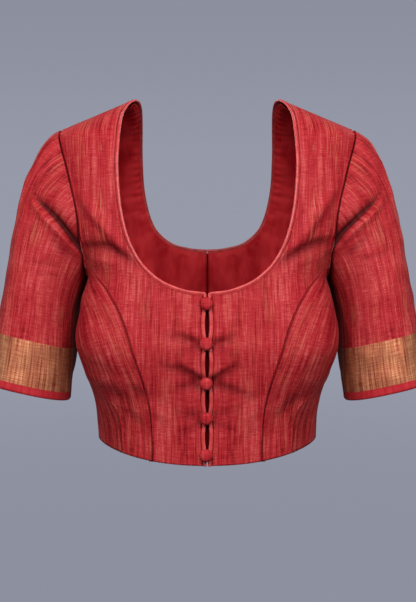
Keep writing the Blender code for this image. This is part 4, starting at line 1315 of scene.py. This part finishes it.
def covered_button(number, height):
    work = bmesh.new()
    outline = through(BUTTON_OUTLINE, np.linspace(0, 1, 26))
    stops = [work.verts.new((BUTTON_WIDTH / 2 * max(r, 0.0), 0, BUTTON_HEIGHT * h)) for r, h in outline]
    for low, high in zip(stops, stops[1:]):
        work.edges.new((low, high))
    bmesh.ops.spin(work, geom=work.verts[:] + work.edges[:], axis=(0, 0, 1), cent=(0, 0, 0),
                   steps=60, angle=2 * pi, use_merge=True)
    bmesh.ops.remove_doubles(work, verts=work.verts, dist=0.00002)
    flat = coordinates(work)
    angle, share = np.arctan2(flat[:, 1], flat[:, 0]), flat[:, 2] / BUTTON_HEIGHT
    pleat = 1 + GATHER_DEPTH * np.cos(GATHERS * angle + number) * bell(share - GATHER_AT, GATHER_WIDE)
    grain = flat[:, :2] + np.array((0.03 * number, 0.02 * number))
    flat[:, :2] *= pleat[:, None]
    normal = Vector(torso_normal(0.0, height))
    seat = Vector(torso(0.0, height)) + normal * (CORD_RADIUS - CLOTH / 2 + SEAM_GAP)
    turned = np.array(normal.to_track_quat("Z", "Y").to_matrix())
    places = flat @ turned.T + np.array(seat) + np.array((BUTTON_X, 0, 0))
    return finish_piece(f"covered_button_{number}", work, places, grain, 1, (button_silk,),
                        [f"button_{number}"])


for number, height in enumerate(BUTTON_HEIGHTS, start=1):
    covered_button(number, height)
print("Buttons:", len(BUTTON_HEIGHTS))

# %% [markdown]
# Seams seen from inside
#
# Where two panels are sewn, their edges are pressed open inside, and a strip of the lining binds them.
# It also closes the seam, so that no light comes through. Each strip follows its seam line, and is
# laid out in turns and heights so that it keeps to the form on both sides of the seam.

# %% Bound seam allowances
STRIP_HALF, STRIP_PAST, STRIP_DEPTH, STRIP_THICK = 0.0045, 0.0030, 0.00135, 0.0004
STRIP_LOWEST, STRIP_HIGHEST = -0.3765, 0.0182
TURN_STEP, HEIGHT_STEP = 0.002, 0.0005


def seam_strip(name, line, inner, outer, side, shade=0.0):
    """A strip along a line, reaching so far to either side of it."""
    rows = max(12, round(line.length / 0.003))
    work = doubled_grid(4, rows)
    flat = coordinates(work)
    turn, height = line.at(0.004 + 0.992 * (flat[:, 1] + 0.5))
    behind, beyond = (torso(*line.at(0.5 + flat[:, 1] + step)) for step in (-0.01, 0.01))
    ahead = beyond - behind
    by_turn = (torso(turn + TURN_STEP, height) - torso(turn - TURN_STEP, height)) / (2 * TURN_STEP)
    by_height = (torso(turn, height + HEIGHT_STEP) - torso(turn, height - HEIGHT_STEP)) / (2 * HEIGHT_STEP)
    aside = unit(np.cross(torso_normal(turn, height), ahead))
    aa, ab, bb = ((p * q).sum(-1) for p, q in
                  ((by_turn, by_turn), (by_turn, by_height), (by_height, by_height)))
    at, bt = (aside * by_turn).sum(-1), (aside * by_height).sum(-1)
    scale = aa * bb - ab ** 2
    reach = inner + (outer - inner) * (flat[:, 0] + 0.5)
    turn = turn + reach * (bb * at - ab * bt) / scale
    height = np.clip(height + reach * (aa * bt - ab * at) / scale, STRIP_LOWEST, STRIP_HIGHEST)
    sunk = STRIP_DEPTH + STRIP_THICK * (flat[:, 2] < -0.5)
    places = torso(turn, height) - torso_normal(turn, height) * sunk[:, None]
    return finish_piece(name, work, places, body_grain(np.clip(turn, 0, pi), height), side,
                        (lining_satin, lining_satin), [], painted_shade=np.full(len(flat), shade))


for suffix, side in SIDES:
    for title, line, inner, outer in (
            ("princess", PRINCESS_SEAM, -STRIP_HALF, STRIP_HALF),
            ("side", SIDE_LINE, -STRIP_HALF, STRIP_HALF),
            ("shoulder", SHOULDER_SEAM, -STRIP_HALF, STRIP_HALF),
            ("armhole_front", Line(*armhole(np.linspace(0.02, pi, 120))), -STRIP_HALF, STRIP_PAST),
            ("armhole_back", Line(*armhole(np.linspace(pi, 2 * pi - 0.02, 120))), -STRIP_HALF, STRIP_PAST)):
        seam_strip(f"seam_{title}_{suffix}", line, inner, outer, side)
    # The centre back strip gets painted shade, so the seam shows as a dark line
    seam_strip(
        f"seam_centre_back_{suffix}", CENTRE_BACK, -0.0004, STRIP_HALF, side, 0.9)

# %% [markdown]
# Hand stitches
#
# The satin is understitched beside the neck cord, and the hems are caught down by hand inside. A
# bump could hint at them, but they catch light as small rods of thread. One low ball is drawn out for
# each, and all of a row are one joined mesh.

# %% Rows of stitches
STITCH_LONG, STITCH_THICK = 0.0021, 0.00028
NECK_SPACING, HEM_SPACING, HEM_SLANT = 0.0036, 0.0060, radians(35)


def stitch_row(name, middles, normals, spacing, side, slant=0.0):
    """Stitches laid along middles, so far apart, each turned by a slant from the row."""
    reach = run_up(middles, 0)
    stations = np.arange(spacing, reach[-1] - spacing, spacing)
    work = bmesh.new()
    for station in stations:
        place, ahead, normal = (
            Vector([float(np.interp(station, reach, rows[:, axis])) for axis in range(3)])
            for rows in (middles, np.gradient(middles, axis=0), normals))
        ahead.normalize()
        ahead = (ahead * cos(slant) + normal.cross(ahead).normalized() * sin(slant)).normalized()
        aside = normal.cross(ahead).normalized()
        upright = ahead.cross(aside)
        frame_of = Matrix((ahead * STITCH_LONG / 2, aside * STITCH_THICK, upright * STITCH_THICK))
        bmesh.ops.create_icosphere(work, subdivisions=1, radius=1.0,
                                   matrix=Matrix.Translation(place) @ frame_of.transposed().to_4x4())
    flat = coordinates(work)
    return finish_piece(name, work, flat, flat[:, :2], side, (sewing_thread,), [])


def level_row(first_turn, last_turn, above_hem, depth):
    """Middles and normals of a row a little above the hem, inside the cloth."""
    turns = np.linspace(first_turn, last_turn, 160)
    heights = hem(turns)[1] + above_hem
    normals = torso_normal(turns, heights)
    return torso(turns, heights) - normals * depth, normals


for suffix, side in SIDES:
    neck_normals = torso_normal(BACK_NECKLINE.turns, BACK_NECKLINE.heights)
    downward = unit(np.cross(np.gradient(back_neck_places, axis=0), neck_normals))
    neck_row = back_neck_places + downward * UNDERSTITCH_AT
    neck_row = neck_row - neck_normals * (LINING_DEPTH + LINING + UNDERSTITCH_DEPTH)
    stitch_row(
        "stitches_neck_" + suffix, neck_row[6:-4], neck_normals[6:-4], NECK_SPACING, side)
    front_row = level_row(
        FRONT_EDGE.at(0)[0] + 0.03, SIDE_LINE.at(0)[0] - 0.02, HEM_DEEP, SILK_THICK + 0.0003)
    stitch_row(
        "stitches_hem_" + suffix, *front_row, HEM_SPACING, side, HEM_SLANT)
    angles = np.linspace(-pi + 0.05, pi - 0.05, 200)
    to_hem = read_sleeve(SLEEVE_FROM_HEM, angles[:, None], SLEEVE_DOWNS)
    downs = np.array([np.interp(-SLEEVE_HEM_DEEP, -row, SLEEVE_DOWNS) for row in to_hem])
    sleeve_normals = sleeve_normal(angles, downs)
    sleeve_row = sleeve(angles, downs) - sleeve_normals * (SILK_THICK + 0.0004)
    stitch_row(
        "stitches_sleeve_" + suffix, sleeve_row, sleeve_normals, HEM_SPACING, side, HEM_SLANT)

# %% [markdown]

# %% [markdown]
# Studio
#
# The blouse is shown as worn, at the height of its wearer, over a pale floor. A wall behind it would
# hide it from other sides, so the world is the backdrop, and the floor far off takes the same colour.
# Two broad lamps at the sides and one above, all in front, shape the bust and light the chest. Two
# behind light the back, and the world fills the folds a little.

# %% Floor, world, lamps and camera
FLOOR_Z = -1.30
BACKDROP_HIGH, BACKDROP_LEVEL = (0.262, 0.275, 0.342), (0.308, 0.323, 0.392)
BACKDROP_NEAR = (0.256, 0.270, 0.334)
WORLD_LIGHT = 0.07
LIT_PLACE = (0, 0, -0.17)
# Columns: name, place, width, power in watts, colour
LAMPS = (
    ("left_key", (-1.15, -1.90, 0.95), 0.7, 24, (1.0, 0.985, 0.97)),
    ("right_key", (1.15, -1.90, 0.95), 0.7, 28, (1.0, 0.985, 0.97)),
    ("front_key", (0.0, -1.9, 1.35), 0.7, 23, (1.0, 0.99, 0.98)),
    ("left_back", (-1.9, 1.9, 1.0), 1.0, 20, (0.97, 0.98, 1.0)),
    ("right_back", (1.9, 1.9, 1.0), 1.0, 20, (0.97, 0.98, 1.0)),
)


def pale_floor():
    work = bmesh.new()
    bmesh.ops.create_grid(work, x_segments=8, y_segments=8, size=60)
    bmesh.ops.translate(work, vec=(0, 0, FLOOR_Z), verts=work.verts)
    mesh = bpy.data.meshes.new("floor")
    work.to_mesh(mesh)
    work.free()
    surface = bpy.data.materials.new("pale_floor")
    surface.use_nodes = True
    tree = surface.node_tree
    shader = tree.nodes["Principled BSDF"]
    place = add(tree, "TexCoord").outputs["Object"]
    away = add(tree, "VectorMath", {0: place}, operation="LENGTH").outputs["Value"]
    shade = blend(tree, between(tree, away, 2.5, 9.0), paint(BACKDROP_NEAR), paint(BACKDROP_LEVEL))
    tree.links.new(shade, shader.inputs["Emission Color"])
    shader.inputs["Emission Strength"].default_value = 1.0
    shader.inputs["Base Color"].default_value = paint(BACKDROP_NEAR, 0.1)
    shader.inputs["Roughness"].default_value = 0.9
    shader.inputs["Specular IOR Level"].default_value = 0.0
    mesh.materials.append(surface)
    floor = bpy.data.objects.new("floor", mesh)
    bpy.context.scene.collection.objects.link(floor)
    floor.visible_diffuse = floor.visible_glossy = False
    floor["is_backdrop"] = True


def studio_world():
    """The backdrop's colour for the camera, and a weaker, plainer light for everything else."""
    world = bpy.data.worlds.new("studio")
    bpy.context.scene.world = world
    world.use_nodes = True
    tree = world.node_tree
    seen = tree.nodes["Background"]
    rising = add(tree, "SeparateXYZ", {"Vector": add(tree, "TexCoord").outputs["Generated"]}).outputs["Z"]
    shade = blend(tree, between(tree, rising, 0.0, 0.14), paint(BACKDROP_LEVEL), paint(BACKDROP_HIGH))
    tree.links.new(shade, seen.inputs["Color"])
    light = add(tree, "Background", {"Color": (0.92, 0.95, 1.0, 1.0), "Strength": WORLD_LIGHT})
    mixed = add(tree, "MixShader", {0: add(tree, "LightPath").outputs["Is Camera Ray"],
                                    1: light.outputs[0], 2: seen.outputs[0]})
    tree.links.new(mixed.outputs[0], tree.nodes["World Output"].inputs["Surface"])


def soft_lamp(name, place, size, power_watts, colour):
    lamp = bpy.data.lights.new(name, "AREA")
    lamp.shape, lamp.size, lamp.energy, lamp.color = "DISK", size, power_watts, colour
    made = bpy.data.objects.new(name, lamp)
    made.location = place
    made.rotation_euler = (Vector(LIT_PLACE) - Vector(place)).to_track_quat("-Z", "Y").to_euler()
    bpy.context.scene.collection.objects.link(made)


def photo_camera():
    """Level with the chest, looking a little down, as far off as a portrait lens stands."""
    camera = bpy.data.cameras.new("camera")
    camera.lens, camera.sensor_width, camera.sensor_fit = 83.06, 36.0, "AUTO"
    camera.clip_start, camera.clip_end = 0.05, 200
    made = bpy.data.objects.new("camera", camera)
    made.location = (0.0008, -1.55, -0.079)
    made.rotation_euler = (radians(90 - 4.7), 0, 0)
    bpy.context.scene.collection.objects.link(made)
    bpy.context.scene.camera = made


pale_floor()
studio_world()
for lamp in LAMPS:
    soft_lamp(*lamp)
bpy.context.scene.view_settings.view_transform = "Standard"
photo_camera()
print("Lamps:", len(LAMPS))

# %% The sizes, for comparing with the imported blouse
visual_box = [list(corner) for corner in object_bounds()]
grown = [visual_box[1][i] - cad_box[1][i] + cad_box[0][i] - visual_box[0][i] for i in range(3)]
print("Grown beyond the packed box by (mm):", [round(1000 * by, 1) for by in grown])
